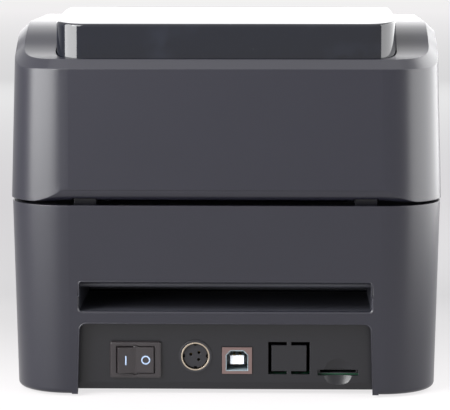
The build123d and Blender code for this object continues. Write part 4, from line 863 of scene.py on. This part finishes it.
lens_places = [(0.0, y, deck_top + sensor_show - lens_sink) for y in lens_rows]
copies("sensor_lenses", lathe_mesh("sensor_lens", lens_profile), lens_places, lamp_plastic, "base")


# Stage, in metres
def seen_share(tree):
    """1 for camera, glossy and transmission rays, and 0 for the rest."""
    rays = add_node(tree, "ShaderNodeLightPath").outputs
    first = add_node(
        tree, "ShaderNodeMath", {"operation": "MAXIMUM"},
        {0: rays["Is Camera Ray"], 1: rays["Is Glossy Ray"]},
    )
    return add_node(
        tree, "ShaderNodeMath", {"operation": "MAXIMUM"},
        {0: first.outputs[0], 1: rays["Is Transmission Ray"]},
    ).outputs[0]


def sweep_paper():
    """Pale paper with painted shade: near white behind the printer, a painted grey band of shade just
    before its front, and white far off.
    """
    far_y = -4.5
    near_y = 0.1
    # The grey stops are painted shade: a soft darker band laid into the paper's colour, not cast by the
    # lamps
    paper_and_shade_stops = [
        (0.0, "#fffefe"), (0.12, "#fffdfe"), (0.665, "#dededf"), (0.86, "#c5c3c6"), (0.945, "#bebdbf"),
        (1.0, "#f0eeef"),
    ]
    material, tree = new_material("pale_paper")
    where = add_node(tree, "ShaderNodeTexCoord").outputs["Object"]
    depth = add_node(tree, "ShaderNodeSeparateXYZ", None, {"Vector": where}).outputs["Y"]
    share = add_node(
        tree, "ShaderNodeMapRange", None, {"Value": depth, "From Min": far_y, "From Max": near_y},
    )
    ramp = add_node(tree, "ShaderNodeValToRGB", None, {"Fac": share.outputs["Result"]})
    elements = ramp.color_ramp.elements
    for element, (position, colour) in zip(elements, (paper_and_shade_stops[0], paper_and_shade_stops[-1])):
        element.position = position
        element.color = linear(colour)
    for position, colour in paper_and_shade_stops[1:-1]:
        elements.new(position).color = linear(colour)
    glow = add_node(tree, "ShaderNodeEmission", None, {"Color": ramp.outputs["Color"], "Strength": 1.08})
    paper = add_node(tree, "ShaderNodeBsdfDiffuse", None, {"Color": linear("#d8d7d7")})
    glow_share = add_node(tree, "ShaderNodeMath", {"operation": "MULTIPLY"}, {0: seen_share(tree), 1: 0.8})
    both = add_node(
        tree, "ShaderNodeMixShader", None,
        {0: glow_share.outputs[0], 1: paper.outputs["BSDF"], 2: glow.outputs["Emission"]},
    )
    return end_material(material, both.outputs["Shader"])


floor_reach = 8.0
floor_mesh = bpy.data.meshes.new("floor")
floor_mesh.from_pydata(
    [(x * floor_reach, y * floor_reach, 0) for x, y in ((-1, -1), (1, -1), (1, 1), (-1, 1))],
    [], [(0, 1, 2, 3)],
)
floor_mesh.materials.append(sweep_paper())
scene_object("floor", floor_mesh)

# World: white where it is seen, and dim as a light
world = bpy.data.worlds.new("studio")
bpy.context.scene.world = world
world.use_nodes = True
tree = world.node_tree
tree.nodes.clear()
dim = add_node(tree, "ShaderNodeBackground", None, {"Color": linear("#ffffff"), "Strength": 0.12})
white = add_node(tree, "ShaderNodeBackground", None, {"Color": linear("#fcfbfc"), "Strength": 1.0})
both = add_node(
    tree, "ShaderNodeMixShader", None,
    {0: seen_share(tree), 1: dim.outputs["Background"], 2: white.outputs["Background"]},
)
add_node(tree, "ShaderNodeOutputWorld", None, {"Surface": both.outputs["Shader"]})


def softbox(name, at, target, width, height, radiance):
    """A large soft light aimed at a point, its power worked out from its brightness."""
    light = bpy.data.lights.new(name, "AREA")
    light.shape = "RECTANGLE"
    light.size = width
    light.size_y = height
    light.energy = radiance * math.pi * width * height
    lamp = scene_object(name, light)
    lamp.location = at
    lamp.rotation_mode = "QUATERNION"
    lamp.rotation_quaternion = (Vector(target) - Vector(at)).to_track_quat("-Z", "Y")
    lamp.visible_camera = False


# Two side panels draw the bright bands down the rounds of the shells
softbox("left_panel", (0.75, 0.74, 0.45), (0.0, 0.74, 0.41), 1.16, 0.84, 10.5)
softbox("right_panel", (-0.42, -0.08, 0.28), (0.0, -0.08, 0.26), 0.84, 0.54, 5.2)
# Two panels in front of the printer shine along its top, on the hood, the shoulders and the bevel
softbox("low_panel", (0.0, -1.6, 0.62), (0.0, 0.0, 0.12), 2.2, 0.9, 2.0)
softbox("high_panel", (0.0, -0.95, 1.15), (0.0, 0.0, 0.13), 1.5, 0.9, 1.9)
# One above gives the plain light, and two small ones behind the printer lighten its rear
softbox("top_panel", (0.0, 0.1, 1.3), (0.0, 0.0, 0.0), 1.2, 1.0, 1.2)
softbox("front_fill", (0.5, 0.8, 0.55), (0.04, 0.1, 0.1), 0.45, 0.35, 1.5)
softbox("close_fill", (0.2, 0.32, 0.33), (0.03, 0.1, 0.13), 0.2, 0.2, 9.0)

# Camera, fitted to the photograph's view
camera_at = place(-20.2, 1027.5, 191.8)
camera_aim = place(-0.05, 107.5, 78.8)
camera_data = bpy.data.cameras.new("camera")
camera_data.sensor_width = 36.0
camera_data.lens = 184.6
camera_data.clip_end = 20.0
camera = scene_object("camera", camera_data)
camera.location = camera_at
camera.rotation_mode = "QUATERNION"
camera.rotation_quaternion = (camera_aim - camera_at).to_track_quat("-Z", "Y")
bpy.context.scene.camera = camera
bpy.context.scene.view_settings.view_transform = "Standard"
